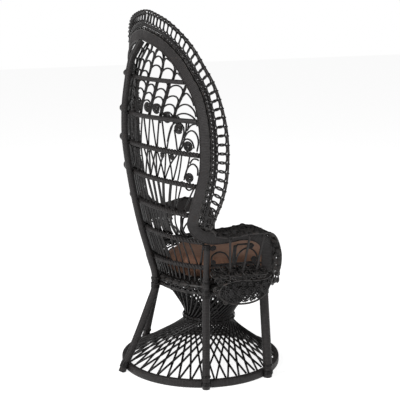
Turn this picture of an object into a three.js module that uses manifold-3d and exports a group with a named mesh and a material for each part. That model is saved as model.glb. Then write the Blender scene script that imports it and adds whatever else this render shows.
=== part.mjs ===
// A tall rattan armchair with a scooped wing back, an hourglass base and a loose seat cushion.
// Lengths are in millimetres and +Z is up. The floor ring is centred on the origin,
// the sitter faces -Y, and the left half is built and mirrored to the right.
import * as THREE from 'three';
import { mergeVertices } from 'three/addons/utils/BufferGeometryUtils.js';
import Module from 'manifold-3d';

const wasm = await Module();
wasm.setup();

// Driving sizes of the whole chair
const hoopHeight = 1392; // pointed inner top of the back hoop
const hoopHalfWidth = 366; // widest half width of the field inside the hoop
const backDepth = 337; // how far the spine reaches behind the floor ring's centre
const floorRingRadius = 330;
const floorRingWidth = 24;
const floorRingHeight = 34;
const seatHeight = 397; // centre of the upper seat ring's tube
const seatRingDrop = 25; // how far the lower seat ring lies below the upper one
const seatHalfWidth = 270;
const seatHalfDepth = 241;
const seatCentreY = -58;
const neckHeight = 201;
const neckCentreY = -40;
const neckRadius = 100;
const gap = 0.3; // what two touching pieces keep between them

// Cane and pole sizes
const legRadius = 16.5;
const frontLegRadius = 19.5;
const poleRadius = 13;
const seatRingRadius = 11;
const lowerRingRadius = 8.5;
const railRadius = 8.5;
const bandWidth = 46;
const bandThickness = 12;
const borderWidth = 75;
const borderRodRadius = 4.2;
const laceRadius = 2.6;
const flapLaceRadius = 3.4;
const strandRadius = 3.1;
const stickRadius = 5.4;
const archRadius = 3.6;
const cushionSideRoom = 24; // how far the cushion stays inside the seat's oval at each side
const cushionOverhang = 9; // how much deeper than the seat's oval the cushion is, to front and rear
const cushionForward = 26; // how far the cushion sits forward of the seat's middle
const cushionHeight = 90;
const rosetteRadius = 18;
const rosetteThickness = 7;
const caneRadius = 4.4; // canes of the hourglass base
const deckThickness = 6;
const crossBarRadius = 6;
const topRingWidth = 26;
const topRingHeight = 10;
const flareRun = 52; // how far the woven ledge under the arm reaches out
const flareThickness = 7;
const sideFlapDrop = 56; // how far each lace flap hangs below the seat ring
const sideFlapRise = 104;
const frontFlapDrop = 72;
const frontFlapRise = 92;

// Counts that set a pattern
const hoopStations = 40;
const laceWaves = 25;
const spokesPerLayer = 18;
const columnsPerHalf = 6;

const rattanColour = 0x2c2a2a;
const wrapColour = 0x3d3b3b;
const caneColour = 0x242222;
const cushionColour = 0x6e5649;

const up = new THREE.Vector3(0, 0, 1);
const acrossX = new THREE.Vector3(1, 0, 0);
const alongY = new THREE.Vector3(0, 1, 0);

// Left half of the hoop's inner edge, from the pointed top down the wing, round the waist,
// forward as the arm and down at the arm's front: shares of half width, depth and height
const hoopEdgeShares = [
  [0, 0.751, 1], [0.17, 0.75, 0.994], [0.41, 0.717, 0.979], [0.585, 0.682, 0.956],
  [0.716, 0.639, 0.929], [0.806, 0.586, 0.893], [0.895, 0.531, 0.85], [0.957, 0.502, 0.792],
  [0.992, 0.496, 0.731], [0.992, 0.499, 0.664], [0.945, 0.512, 0.615], [0.867, 0.525, 0.571],
  [0.788, 0.54, 0.523], [0.724, 0.53, 0.483], [0.705, 0.43, 0.446], [0.713, 0.265, 0.424],
  [0.732, 0.148, 0.421], [0.757, 0, 0.423], [0.774, -0.165, 0.428], [0.78, -0.3, 0.423],
  [0.778, -0.4, 0.407], [0.772, -0.43, 0.378], [0.768, -0.435, 0.35], [0.763, -0.43, 0.329],
];
// The band's width at each of those places, as shares of bandWidth
const bandWidthShares = [
  1, 1, 1, 1, 1, 1, 1, 1, 1, 1, 1, 1, 1.02, 1.05, 1.1, 1.22, 1.3, 1.34, 1.34, 1.24, 1.1, 1, 1, 1,
];
// Which way the band is wide at each of those places, as direction shares
const bandDirectionShares = [
  [0, -0.1, 1], [-0.17, -0.14, 0.975], [-0.3, -0.2, 0.92], [-0.52, -0.31, 0.79],
  [-0.7, -0.42, 0.57], [-0.76, -0.5, 0.4], [-0.77, -0.57, 0.26], [-0.76, -0.62, 0.15],
  [-0.73, -0.67, 0.04], [-0.73, -0.68, -0.1], [-0.68, -0.68, -0.26], [-0.64, -0.71, -0.28],
  [-0.58, -0.78, -0.2], [-0.45, -0.87, 0.05], [-0.3, -0.72, 0.6], [-0.17, -0.36, 0.91],
  [-0.12, -0.08, 0.99], [-0.12, 0, 0.99], [-0.12, 0.08, 0.98], [-0.2, -0.25, 0.93],
  [-0.3, -0.75, 0.6], [-0.42, -0.86, 0.25], [-0.46, -0.88, 0.02], [-0.46, -0.88, 0],
];
// Which way the open border flares from the band, and its width as a share of borderWidth
const borderDirectionShares = [
  [0, -0.18, 0.98], [-0.15, -0.14, 0.98], [-0.35, -0.1, 0.93], [-0.52, -0.15, 0.84],
  [-0.66, -0.2, 0.72], [-0.77, -0.25, 0.58], [-0.82, -0.36, 0.42], [-0.86, -0.46, 0.2],
  [-0.87, -0.49, 0.04], [-0.87, -0.49, -0.06], [-0.84, -0.5, -0.2], [-0.85, -0.5, -0.15],
  [-0.86, -0.5, -0.05], [-0.86, -0.5, 0.05], [-0.92, -0.36, 0.05], [-0.95, -0.2, -0.1],
  [-0.95, -0.1, -0.2], [-0.95, 0, -0.2], [-0.94, -0.04, -0.2], [-0.93, -0.2, -0.2],
  [-0.72, -0.66, -0.1], [-0.62, -0.78, 0], [-0.6, -0.8, 0], [-0.6, -0.8, 0],
];
const borderWidthShares = [
  0.93, 0.93, 0.93, 0.93, 0.93, 0.92, 0.9, 0.95, 1, 1, 0.98, 0.91,
  0.8, 0.6, 0.46, 0.56, 0.76, 0.88, 0.88, 0.72, 0.36, 0.42, 0.39, 0.31,
];
const waistIndex = 15;

// Centre line of the spine pole from its foot to the seat, and from the seat to the top:
// shares of backDepth behind and hoopHeight up
const spineLegShares = [
  [1.086, 0], [1.038, 0.0259], [0.958, 0.0618], [0.846, 0.1221], [0.702, 0.2062],
];
const spineBackShares = [
  [0.687, 0.353], [0.795, 0.444], [0.878, 0.531], [0.935, 0.606],
  [0.992, 0.704], [1, 0.776], [0.982, 0.841], [0.914, 0.936], [0.843, 0.972], [0.774, 0.9989],
];
// Heights of the seven cross rails from the top down, and how far their ends droop
const railHeightShares = [0.898, 0.793, 0.707, 0.618, 0.529, 0.446, 0.353];
const railDroopShares = [0.002, 0.002, 0.009, 0.01, 0.01, 0.018, 0.004];
const fieldBow = 2.2; // exponent of the field's plan curve from the spine to the hoop

// Where the poles stand: angles round the floor ring and the seat ring, in degrees
const postFootAngle = 159.4;
const postSeatAngle = 147;
const frontLegFootAngle = 209;
const frontLegSeatAngle = 202.5;

// Values worked out from the driving sizes
const cushionHalfWidth = seatHalfWidth - cushionSideRoom;
const cushionHalfDepth = seatHalfDepth + cushionOverhang;
const cushionCentreY = seatCentreY - cushionForward;
const deckBottom = seatHeight + seatRingRadius + gap;
const deckTop = deckBottom + deckThickness;
const crossBarHeight = deckBottom - gap - crossBarRadius;
const topRingTop = crossBarHeight - crossBarRadius - gap;
const topRingBottom = topRingTop - topRingHeight;
const topRingRadius = Math.min(seatHalfDepth, seatHalfWidth) - seatRingRadius - topRingWidth / 2 - gap;
const kneeLow = seatHeight - seatRingDrop - 2 * lowerRingRadius;
const kneeHigh = seatHeight + 2 * seatRingRadius;
const ankleHeight = floorRingHeight + legRadius;
const faceShares = { square: Math.cos(Math.PI / 4), hexagon: Math.cos(Math.PI / 6) };
const poleFace = poleRadius * Math.cos(Math.PI / 8);
const railFace = railRadius * faceShares.hexagon;
const layerStep = 2 * caneRadius + 6 * gap;

function material(colour, roughness) {
  return new THREE.MeshStandardMaterial({ color: colour, roughness, metalness: 0 });
}

// Swaps the corners of every triangle where the closed surface is inside out
function outward(geometry) {
  const flat = geometry.index ? geometry.toNonIndexed() : geometry;
  const position = flat.attributes.position;
  const corner = [0, 1, 2].map(() => new THREE.Vector3());
  let volume = 0;
  for (let i = 0; i < position.count; i += 3) {
    corner.forEach((point, k) => point.fromBufferAttribute(position, i + k));
    volume += corner[0].dot(corner[1].clone().cross(corner[2]));
  }
  const result = new THREE.BufferGeometry();
  const values = Float32Array.from(position.array);
  if (volume < 0) {
    for (let i = 0; i < position.count; i += 3) {
      for (let axis = 0; axis < 3; axis += 1) {
        const second = (i + 1) * 3 + axis;
        const third = (i + 2) * 3 + axis;
        [values[second], values[third]] = [values[third], values[second]];
      }
    }
  }
  result.setAttribute('position', new THREE.BufferAttribute(values, 3));
  result.computeVertexNormals();
  return result;
}

function mirrored(geometry) {
  return outward(geometry.clone().scale(-1, 1, 1));
}

// A regular polygon that stands for a round section
function roundSection(radius, sides) {
  const shape = new THREE.Shape();
  for (let i = 0; i < sides; i += 1) {
    const angle = (2 * Math.PI * (i + 0.5)) / sides;
    const point = new THREE.Vector2(radius * Math.cos(angle), radius * Math.sin(angle));
    if (i === 0) shape.moveTo(point.x, point.y);
    else shape.lineTo(point.x, point.y);
  }
  shape.closePath();
  return shape;
}

function flatSection(width, thickness) {
  const shape = new THREE.Shape();
  shape.moveTo(-width / 2, -thickness / 2);
  shape.lineTo(width / 2, -thickness / 2);
  shape.lineTo(width / 2, thickness / 2);
  shape.lineTo(-width / 2, thickness / 2);
  shape.closePath();
  return shape;
}

// Extrudes a section once and lays its steps on stations {at, u, v, scale}
function sweep(section, stations) {
  const last = stations.length - 1;
  const settings = { depth: 1, steps: last, bevelEnabled: false, curveSegments: 1 };
  const geometry = new THREE.ExtrudeGeometry(section, settings);
  const position = geometry.attributes.position;
  for (let i = 0; i < position.count; i += 1) {
    const station = stations[Math.round(position.getZ(i) * last)];
    const size = station.scale ?? 1;
    const point = station.at.clone();
    point.addScaledVector(station.u, position.getX(i) * size);
    point.addScaledVector(station.v, position.getY(i) * size);
    position.setXYZ(i, point.x, point.y, point.z);
  }
  return outward(geometry);
}

// A round rod through points, its sections square to the run
function rod(points, radius, sides) {
  const stations = points.map((at, i) => {
    const before = points[Math.max(i - 1, 0)];
    const after = points[Math.min(i + 1, points.length - 1)];
    const run = after.clone().sub(before).normalize();
    const side = Math.abs(run.z) > 0.8 ? alongY : up;
    const u = run.clone().cross(side).normalize();
    return { at, u, v: run.clone().cross(u).normalize() };
  });
  return sweep(roundSection(radius, sides), stations);
}

// A standing pole whose sections are level, so its foot and top are flat
function pole(points, radii, sides) {
  const stations = points.map((at, i) => (
    { at, u: acrossX, v: alongY, scale: radii[i] }
  ));
  return sweep(roundSection(1, sides), stations);
}

function curveThrough(points) {
  return new THREE.CatmullRomCurve3(points, false, 'catmullrom', 0.5);
}

// The point of a curve at a height, for a curve that only climbs or only falls from a to b
function pointAtHeight(curve, height, a = 0, b = 1) {
  let low = a;
  let high = b;
  const climbs = curve.getPoint(b).z > curve.getPoint(a).z;
  for (let i = 0; i < 40; i += 1) {
    const middle = (low + high) / 2;
    if (curve.getPoint(middle).z < height === climbs) low = middle;
    else high = middle;
  }
  return curve.getPoint((low + high) / 2);
}

function solid(geometry) {
  const bare = new THREE.BufferGeometry();
  bare.setAttribute('position', geometry.attributes.position.clone());
  const merged = mergeVertices(bare, gap / 1000);
  const mesh = new wasm.Mesh({
    numProp: 3,
    vertProperties: new Float32Array(merged.attributes.position.array),
    triVerts: new Uint32Array(merged.index.array),
  });
  return new wasm.Manifold(mesh);
}

function joined(geometries) {
  let whole = solid(geometries[0]);
  for (const geometry of geometries.slice(1)) whole = whole.add(solid(geometry));
  const mesh = whole.getMesh();
  const geometry = new THREE.BufferGeometry();
  const values = new Float32Array(mesh.vertProperties);
  geometry.setAttribute('position', new THREE.BufferAttribute(values, 3));
  geometry.setIndex(new THREE.BufferAttribute(new Uint32Array(mesh.triVerts), 1));
  return outward(geometry);
}

// A ring turned round the upright axis, of a section {width, height} or a round one
function turnedRing(radius, section, segments) {
  const profile = section.map(([r, z]) => new THREE.Vector2(radius + r, z));
  profile.push(profile[0].clone());
  const geometry = new THREE.LatheGeometry(profile, segments);
  geometry.rotateX(Math.PI / 2);
  return outward(geometry);
}

function roundProfile(radius, sides) {
  return Array.from({ length: sides }, (_, i) => {
    const angle = (2 * Math.PI * (i + 0.5)) / sides;
    return [radius * Math.cos(angle), radius * Math.sin(angle)];
  });
}

function flatProfile(width, height) {
  return [[-width / 2, 0], [width / 2, 0], [width / 2, height], [-width / 2, height]];
}

// The oval of the seat, grown outward by an offset, at an angle in degrees
function seatOval(offset, degrees) {
  const angle = THREE.MathUtils.degToRad(degrees);
  return new THREE.Vector3(
    (seatHalfWidth + offset) * Math.cos(angle),
    seatCentreY + (seatHalfDepth + offset) * Math.sin(angle),
    0,
  );
}

function ovalRing(offset, radius, sides, segments) {
  const mean = (seatHalfWidth + seatHalfDepth) / 2 + offset;
  const ring = turnedRing(mean, roundProfile(radius, sides), segments);
  const position = ring.attributes.position;
  for (let i = 0; i < position.count; i += 1) {
    const x = position.getX(i);
    const y = position.getY(i);
    const radial = Math.hypot(x, y);
    const beyond = radial - mean;
    const cos = x / radial;
    const sin = y / radial;
    position.setX(i, (seatHalfWidth + offset + beyond) * cos);
    position.setY(i, (seatHalfDepth + offset + beyond) * sin);
  }
  return outward(ring);
}

// The hoop: stations with the edge point, band direction, thickness direction and border
function vectorsFrom(shares, scale) {
  return shares.map(([x, y, z]) => new THREE.Vector3(x * scale.x, y * scale.y, z * scale.z));
}

const hoopScale = new THREE.Vector3(-hoopHalfWidth, backDepth, hoopHeight);
const unitScale = new THREE.Vector3(1, 1, 1);
const hoopEdge = curveThrough(vectorsFrom(hoopEdgeShares, hoopScale));
const bandDirection = curveThrough(vectorsFrom(bandDirectionShares, unitScale));
const borderDirection = curveThrough(vectorsFrom(borderDirectionShares, unitScale));
const borderReach = curveThrough(borderWidthShares.map((s) => new THREE.Vector3(s, 0, 0)));
const bandReach = curveThrough(bandWidthShares.map((s) => new THREE.Vector3(s, 0, 0)));

function hoopStation(t) {
  const edge = hoopEdge.getPoint(t);
  const run = t === 0 ? new THREE.Vector3(-1, 0, 0) : hoopEdge.getTangent(t);
  const w = bandDirection.getPoint(t);
  w.addScaledVector(run, -w.dot(run)).normalize();
  const n = run.clone().cross(w).normalize();
  const b = borderDirection.getPoint(t);
  b.addScaledVector(run, -b.dot(run)).normalize();
  const reach = borderReach.getPoint(t).x * borderWidth;
  const wide = bandReach.getPoint(t).x * bandWidth;
  return { edge, run, w, n, b, reach, wide };
}

const hoopPlaces = Array.from({ length: hoopStations + 1 }, (_, i) => (
  hoopStation(i / hoopStations)
));
hoopPlaces[0].edge.x -= gap / 2;

// A place in the border: share 0 at its inner rod and 1 at its outer rod
function borderPoint(place, share) {
  const seat = place.wide + gap + borderRodRadius;
  return place.edge.clone()
    .addScaledVector(place.w, seat)
    .addScaledVector(place.b, place.reach * share);
}

function hoopBand() {
  const stations = hoopPlaces.map((place) => ({
    at: place.edge.clone().addScaledVector(place.w, place.wide / 2),
    u: place.w.clone().multiplyScalar(place.wide / bandWidth),
    v: place.n,
  }));
  return sweep(flatSection(bandWidth, bandThickness), stations);
}

function borderRod(share) {
  const stations = hoopPlaces.map((place) => ({
    at: borderPoint(place, share),
    u: place.b,
    v: place.run.clone().cross(place.b).normalize(),
  }));
  return sweep(roundSection(borderRodRadius, 4), stations);
}

// One cane strand of the border's chain: it swings between the two rods, in front of or
// behind the twin strand that swings the other way
function borderStrand(sign) {
  const steps = laceWaves * 4;
  const inset = borderRodRadius * faceShares.square + 2 * gap + laceRadius;
  const stations = [];
  for (let i = 0; i <= steps; i += 1) {
    const place = hoopStation(0.002 + (0.996 * i) / steps);
    const swing = sign * Math.sin((Math.PI * i) / 2);
    const fold = (bandThickness / 2) * (1 - place.w.dot(place.b));
    const half = (place.reach - fold) / 2 - inset;
    const lift = place.run.clone().cross(place.b).normalize();
    const at = borderPoint(place, 0.5)
      .addScaledVector(place.b, half * swing + fold / 2)
      .addScaledVector(lift, sign * (laceRadius + 3 * gap));
    stations.push({ at, u: place.b, v: lift });
  }
  return sweep(roundSection(laceRadius, 3), stations);
}

// The lowest of the places that a function of t gives over a round pole's top, looked for
// in two spans of the hoop from a knot on
function lowestOver(placesAt, knot, centre, radius) {
  const count = 200;
  let lowest = Infinity;
  for (let i = 0; i <= count; i += 1) {
    const t = (knot + (2 * i) / count) / (hoopEdgeShares.length - 1);
    placesAt(t).forEach((point) => {
      const away = Math.hypot(point.x - centre.x, point.y - centre.y);
      if (away < radius && point.z < lowest) lowest = point.z;
    });
  }
  return lowest;
}

// Poles
function footRadius(radius) {
  return floorRingRadius + gap + radius;
}

const spineSeatY = seatCentreY + seatHalfDepth + seatRingRadius + legRadius + 0.85 * gap;
const spineCurve = curveThrough([
  ...spineLegShares.map(([y, z]) => new THREE.Vector3(0, y * backDepth, z * hoopHeight)),
  new THREE.Vector3(0, spineSeatY, kneeLow),
  new THREE.Vector3(0, spineSeatY, kneeHigh),
  ...spineBackShares.map(([y, z]) => new THREE.Vector3(0, y * backDepth, z * hoopHeight)),
]);

function footPoint(degrees, height, radius) {
  const angle = THREE.MathUtils.degToRad(degrees);
  const reach = footRadius(radius);
  return new THREE.Vector3(reach * Math.cos(angle), reach * Math.sin(angle), height);
}

function seatSidePoint(degrees, height, radius) {
  const point = seatOval(seatRingRadius + 2 * gap + radius, degrees);
  point.z = height;
  return point;
}

const waistPlace = hoopStation(waistIndex / (hoopEdgeShares.length - 1));
const postTopHeight = lowestOver(
  (t) => {
    const { edge, n } = hoopStation(t);
    return [-0.5, 0.5].map((side) => edge.clone().addScaledVector(n, side * bandThickness));
  },
  waistIndex - 1,
  waistPlace.edge,
  poleRadius,
) - gap;
const postPoints = [
  footPoint(postFootAngle, 0, legRadius),
  footPoint(postFootAngle, ankleHeight, legRadius),
  seatSidePoint(postSeatAngle, kneeLow, legRadius),
  seatSidePoint(postSeatAngle, kneeHigh, legRadius),
  new THREE.Vector3(waistPlace.edge.x, waistPlace.edge.y, postTopHeight),
];
const frontLegPoints = [
  footPoint(frontLegFootAngle, 0, frontLegRadius),
  footPoint(frontLegFootAngle, ankleHeight, frontLegRadius),
  seatSidePoint(frontLegSeatAngle, kneeLow, frontLegRadius),
  seatSidePoint(frontLegSeatAngle, kneeHigh, frontLegRadius),
];

function spinePole() {
  const count = 30;
  const points = [];
  const radii = [];
  for (let i = 0; i <= count; i += 1) {
    const t = i / count;
    const point = spineCurve.getPoint(t);
    points.push(point);
    radii.push(point.z > kneeHigh ? poleRadius : legRadius);
  }
  return pole(points, radii, 8);
}

function post() {
  return pole(postPoints, [legRadius, legRadius, legRadius, legRadius, poleRadius], 8);
}

function frontLeg() {
  return pole(frontLegPoints, frontLegPoints.map(() => frontLegRadius), 8);
}

// Hourglass base: two layers of straight canes that twist opposite ways through the neck
function spokeLayer(sign, inset) {
  const cane = caneRadius;
  const twist = THREE.MathUtils.degToRad(58);
  const middleTwist = THREE.MathUtils.degToRad(44);
  const floorRadius = floorRingRadius - floorRingWidth / 2 + layerStep / 2 - inset;
  const topRadius = topRingRadius + layerStep / 2 - inset;
  const waist = neckRadius - inset;
  const pieces = [];
  for (let i = 0; i < spokesPerLayer; i += 1) {
    const base = (2 * Math.PI * i) / spokesPerLayer;
    const low = new THREE.Vector3(
      floorRadius * Math.cos(base - sign * twist),
      floorRadius * Math.sin(base - sign * twist),
      floorRingHeight + gap,
    );
    const middle = new THREE.Vector3(
      waist * Math.cos(base),
      neckCentreY + waist * Math.sin(base),
      neckHeight,
    );
    const high = new THREE.Vector3(
      topRadius * Math.cos(base + sign * middleTwist),
      seatCentreY + topRadius * Math.sin(base + sign * middleTwist),
      topRingBottom - gap,
    );
    pieces.push(pole([low, middle, high], [cane, cane, cane], 4));
  }
  const ring = turnedRing(waist, roundProfile(cane, 4), 24);
  ring.translate(0, neckCentreY, neckHeight);
  return joined([ring, ...pieces]);
}

// The back field: a sheet curved from the spine to the hoop, where canes and rails lie
const hoopWaistShare = waistIndex / (hoopEdgeShares.length - 1);
const postCurve = curveThrough(postPoints);

function fieldSide(height) {
  const low = hoopEdge.getPoint(hoopWaistShare).z;
  if (height >= low) return pointAtHeight(hoopEdge, height, 0, hoopWaistShare);
  const point = pointAtHeight(postCurve, height);
  point.x += poleRadius;
  return point;
}

const railForward = poleFace + 2 * gap + railFace;
const caneForward = railFace + 2 * gap + strandRadius;

// A point of the sheet that the rails lie on, moved forward square to the sheet
function fieldPoint(share, height, forward) {
  const side = fieldSide(height);
  const middle = Math.min(
    pointAtHeight(spineCurve, height - railRadius / 2).y,
    pointAtHeight(spineCurve, height + railRadius / 2).y,
  ) - railForward;
  const depth = side.y - middle;
  const bow = Math.abs(share) ** fieldBow;
  const slope = Math.sign(share) * fieldBow * Math.abs(share) ** (fieldBow - 1);
  const normal = new THREE.Vector2(depth * slope, side.x).normalize();
  return new THREE.Vector3(
    -side.x * share + forward * normal.x,
    middle + depth * bow + forward * normal.y,
    height,
  );
}

// A rail's height on the sheet at a share of the half width
function railZ(number, share = 0) {
  const droop = railDroopShares[number - 1] * share * share;
  return (railHeightShares[number - 1] - droop) * hoopHeight;
}

function backRail(number) {
  const height = railZ(number, 1);
  const reach = Math.abs(fieldSide(height).x);
  const narrow = Math.min(
    Math.abs(fieldSide(height + railRadius).x),
    Math.abs(fieldSide(height - railRadius).x),
    reach,
  );
  const end = (narrow - gap - railRadius) / reach;
  const points = [];
  const count = 20;
  for (let i = 0; i <= count; i += 1) {
    const share = -end + (2 * end * i) / count;
    points.push(fieldPoint(share, railZ(number, share), 0));
  }
  return rod(points, railRadius, 6);
}

// Where canes stop short of the hoop's edge
function caneLimit(height) {
  return 1 - (2 * strandRadius) / Math.abs(fieldSide(height).x);
}

// Stakes made of one cane that goes up and down between two rails
function stakeRun(low, pass, high, stakes) {
  const points = [];
  for (let i = 0; i < stakes; i += 1) {
    const share = -1 + (2 * (i + 0.5)) / stakes;
    const heights = [low(share), pass(share), high(share)];
    if (i % 2 === 1) heights.reverse();
    heights.forEach((height) => {
      points.push(fieldPoint(share * caneLimit(height), height, caneForward + 5 * gap));
    });
  }
  return rod(points, strandRadius, 4);
}

// A cane that runs to and fro in slants between two rails
function slantRun(low, high, turns, startUp, forward) {
  const points = [];
  for (let i = 0; i <= turns; i += 1) {
    const share = -1 + (2 * i) / turns;
    const isUp = (i % 2 === 0) === startUp;
    const height = isUp ? high(share) : low(share);
    points.push(fieldPoint(share * caneLimit(height), height, forward));
  }
  return rod(points, strandRadius, 4);
}

// Fish-scale arches: rows of round arches standing on upright trunks
function scaleRow(height, rise, columns, columnShare) {
  const points = [];
  const steps = 3;
  for (let i = 0; i <= columns * steps; i += 1) {
    const place = i / steps - columns / 2;
    const phase = (i % steps) / steps;
    const climb = i % steps === 0 ? 0 : Math.sin(Math.PI * phase) ** 0.6;
    const share = place * columnShare;
    points.push(fieldPoint(share, height + rise * climb, caneForward));
  }
  return rod(points, strandRadius, 3);
}

function trunk(share, lowHeight, highHeight) {
  const points = [0, 0.5, 1].map((part) => (
    fieldPoint(share, lowHeight + (highHeight - lowHeight) * part, caneForward)
  ));
  return rod(points, strandRadius, 4);
}

function rosette(share, height) {
  const centre = fieldPoint(share, height, caneForward);
  const near = fieldPoint(share + 0.01, height, caneForward);
  const u = near.sub(centre).normalize();
  const facing = u.clone().cross(up).normalize();
  const stations = [-0.5, 0.5].map((side) => ({
    at: centre.clone().addScaledVector(facing, side * rosetteThickness * 0.8),
    u,
    v: up,
  }));
  return sweep(roundSection(rosetteRadius, 6), stations);
}

function scaleLattice() {
  const low = railZ(2) + strandRadius;
  const middle = railZ(1);
  const rows = 4;
  const pitch = (middle - low) / rows;
  const columns = 2 * columnsPerHalf;
  const pieces = [];
  for (let row = 0; row < rows; row += 1) {
    const height = low + row * pitch;
    pieces.push(scaleRow(height, pitch * 0.9, columns, 0.98 / columnsPerHalf));
  }
  for (let i = 1 - columnsPerHalf; i < columnsPerHalf; i += 1) {
    const share = (i * 0.98) / columnsPerHalf;
    pieces.push(trunk(share, low - strandRadius, middle - strandRadius));
  }
  for (let i = -3; i <= 3; i += 1) {
    pieces.push(rosette((i * 0.98) / columnsPerHalf, low + rosetteRadius));
  }
  return joined(pieces);
}

function crownLattice() {
  const low = railZ(1) + strandRadius;
  const rows = 3;
  const pitch = (hoopHeight - low) / (rows + 1.4);
  const pieces = [];
  const side = Math.abs(fieldSide(low).x);
  for (let row = 0; row < rows; row += 1) {
    const height = low + row * pitch;
    const width = Math.abs(fieldSide(height + pitch).x) / Math.abs(fieldSide(height).x);
    const columns = 2 * Math.floor((columnsPerHalf * Math.abs(fieldSide(height + pitch).x)) / side);
    const share = (side * 0.96) / (columnsPerHalf * Math.abs(fieldSide(height).x));
    if (columns > 0 && width > 0) pieces.push(scaleRow(height, pitch * 0.9, columns, share));
  }
  for (let i = -3; i <= 3; i += 1) {
    const reach = 1 - Math.abs(i) / (columnsPerHalf - 1);
    const top = low + rows * pitch * Math.max(reach, 0.3);
    const points = [0, 0.5, 1].map((part) => {
      const height = low + (top - low) * part;
      const share = (i * side * 0.96) / (columnsPerHalf * Math.abs(fieldSide(height).x));
      return fieldPoint(share, height, caneForward);
    });
    pieces.push(rod(points, strandRadius, 4));
  }
  return joined(pieces);
}

// Arm side: sticks outside, and an arched panel inside
const stickShares = [[0.32, 0.2], [0.57, 0.53], [0.84, 0.765]]; // foot and top of each stick
const armStart = 16 / (hoopEdgeShares.length - 1);
const armEnd = 20 / (hoopEdgeShares.length - 1);
const armFoot = 22.2 / (hoopEdgeShares.length - 1);
const sideRailHeight = railHeightShares[6] * hoopHeight;
const flareSlope = 0.62;

function sideRailPoints() {
  const start = pointAtHeight(postCurve, sideRailHeight);
  const end = hoopEdge.getPoint(armFoot);
  start.y -= legRadius + gap;
  end.addScaledVector(hoopStation(armFoot).w, -(gap + strandRadius * 0.4));
  start.z = sideRailHeight;
  end.z = sideRailHeight;
  return [0, 0.25, 0.5, 0.75, 1].map((part) => {
    const point = start.clone().lerp(end, part);
    point.x -= strandRadius * Math.sin(Math.PI * part);
    return point;
  });
}

function sideRail() {
  return rod(sideRailPoints(), strandRadius * 1.4, 6);
}

// The woven flare slopes out and down from the side rail
function flarePoint(part, across) {
  const points = curveThrough(sideRailPoints());
  const point = points.getPoint(part);
  point.z -= strandRadius * 1.4 + gap + flareThickness * 0.62;
  point.x -= across * flareRun;
  point.z -= across * flareRun * flareSlope;
  return point;
}

function woveFlare() {
  const slope = new THREE.Vector3(-1, 0, -flareSlope).normalize();
  const width = Math.hypot(flareRun, flareRun * flareSlope);
  const stations = [0, 0.2, 0.4, 0.6, 0.8, 0.95].map((part) => {
    const v = new THREE.Vector3(0, -1, 0).cross(slope).normalize();
    return { at: flarePoint(part, 0.5), u: slope, v };
  });
  return sweep(flatSection(width, flareThickness), stations);
}

function armStick(foot, head) {
  const place = hoopStation(armStart + (armEnd - armStart) * head);
  const top = borderPoint(place, 1);
  const knot = armStart * (hoopEdgeShares.length - 1) + 4 * head - 1;
  top.z = lowestOver((t) => [borderPoint(hoopStation(t), 1)], knot, top, stickRadius);
  top.z -= borderRodRadius + 2 * gap;
  const low = flarePoint(foot, 0.62);
  low.z += (flareThickness / 2) * Math.hypot(1, flareSlope) + stickRadius * flareSlope + gap;
  return pole([low, top], [stickRadius, stickRadius], 6);
}

function armArches() {
  const rail = curveThrough(sideRailPoints());
  const railTop = sideRailHeight + strandRadius * 1.4 + 2 * gap + archRadius * faceShares.square;
  const place = (part, height) => {
    const low = rail.getPoint(part);
    return new THREE.Vector3(low.x, low.y, railTop + height);
  };
  const rise = hoopEdge.getPoint(armStart).z - gap - archRadius - railTop;
  const arch = (from, to, height) => {
    const points = [];
    for (let i = 0; i <= 8; i += 1) {
      const angle = Math.PI * (i / 8);
      const part = (from + to) / 2 - ((to - from) / 2) * Math.cos(angle);
      points.push(place(part, height * Math.sin(angle) ** 0.7));
    }
    return rod(points, archRadius, 4);
  };
  return joined([
    arch(0.06, 0.46, rise * 0.55),
    arch(0.44, 0.9, rise * 0.72),
    arch(0.06, 0.9, rise * 0.94),
    rod([place(0.06, 0), place(0.48, 0), place(0.9, 0)], archRadius, 4),
  ]);
}

// Hanging lace flaps: a closed cane loop on the oval outside the legs, with a wave inside
const sideFlapOffset = seatRingRadius + 2 * frontLegRadius + 4 * gap + borderRodRadius;
const frontFlapOffset = seatRingRadius * faceShares.hexagon + 4 * gap + borderRodRadius;
const flapShares = [
  [-1, 1], [-0.66, 0.86], [-0.33, 0.86], [0, 0.9], [0.33, 0.95], [0.66, 0.9], [0.88, 0.76],
  [1, 0.5], [0.92, 0.24], [0.7, 0.06], [0.36, 0], [0, 0], [-0.36, 0.1], [-0.66, 0.34],
];

function flapPoint(flap, along, height, forward) {
  const point = seatOval(flap.offset + forward, flap.angle - along * flap.halfAngle);
  point.z = flap.low + height * flap.rise;
  return point;
}

const sideFlap = {
  angle: 184,
  halfAngle: 26,
  low: seatHeight - sideFlapDrop,
  rise: sideFlapRise,
  offset: sideFlapOffset,
  seat: 6,
};
const frontFlap = {
  angle: 270,
  halfAngle: 30,
  low: seatHeight - frontFlapDrop,
  rise: frontFlapRise,
  offset: frontFlapOffset,
  seat: 5,
};

function flapCurve(flap) {
  const outline = flapShares.map(([along, height]) => flapPoint(flap, along, height, 0));
  return new THREE.CatmullRomCurve3(outline, true, 'catmullrom', 0.5);
}

function flapLoop(flap) {
  const curve = flapCurve(flap);
  const count = 36;
  const points = Array.from({ length: count }, (_, i) => curve.getPoint(i / count));
  return rod(points, borderRodRadius, 5);
}

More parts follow.
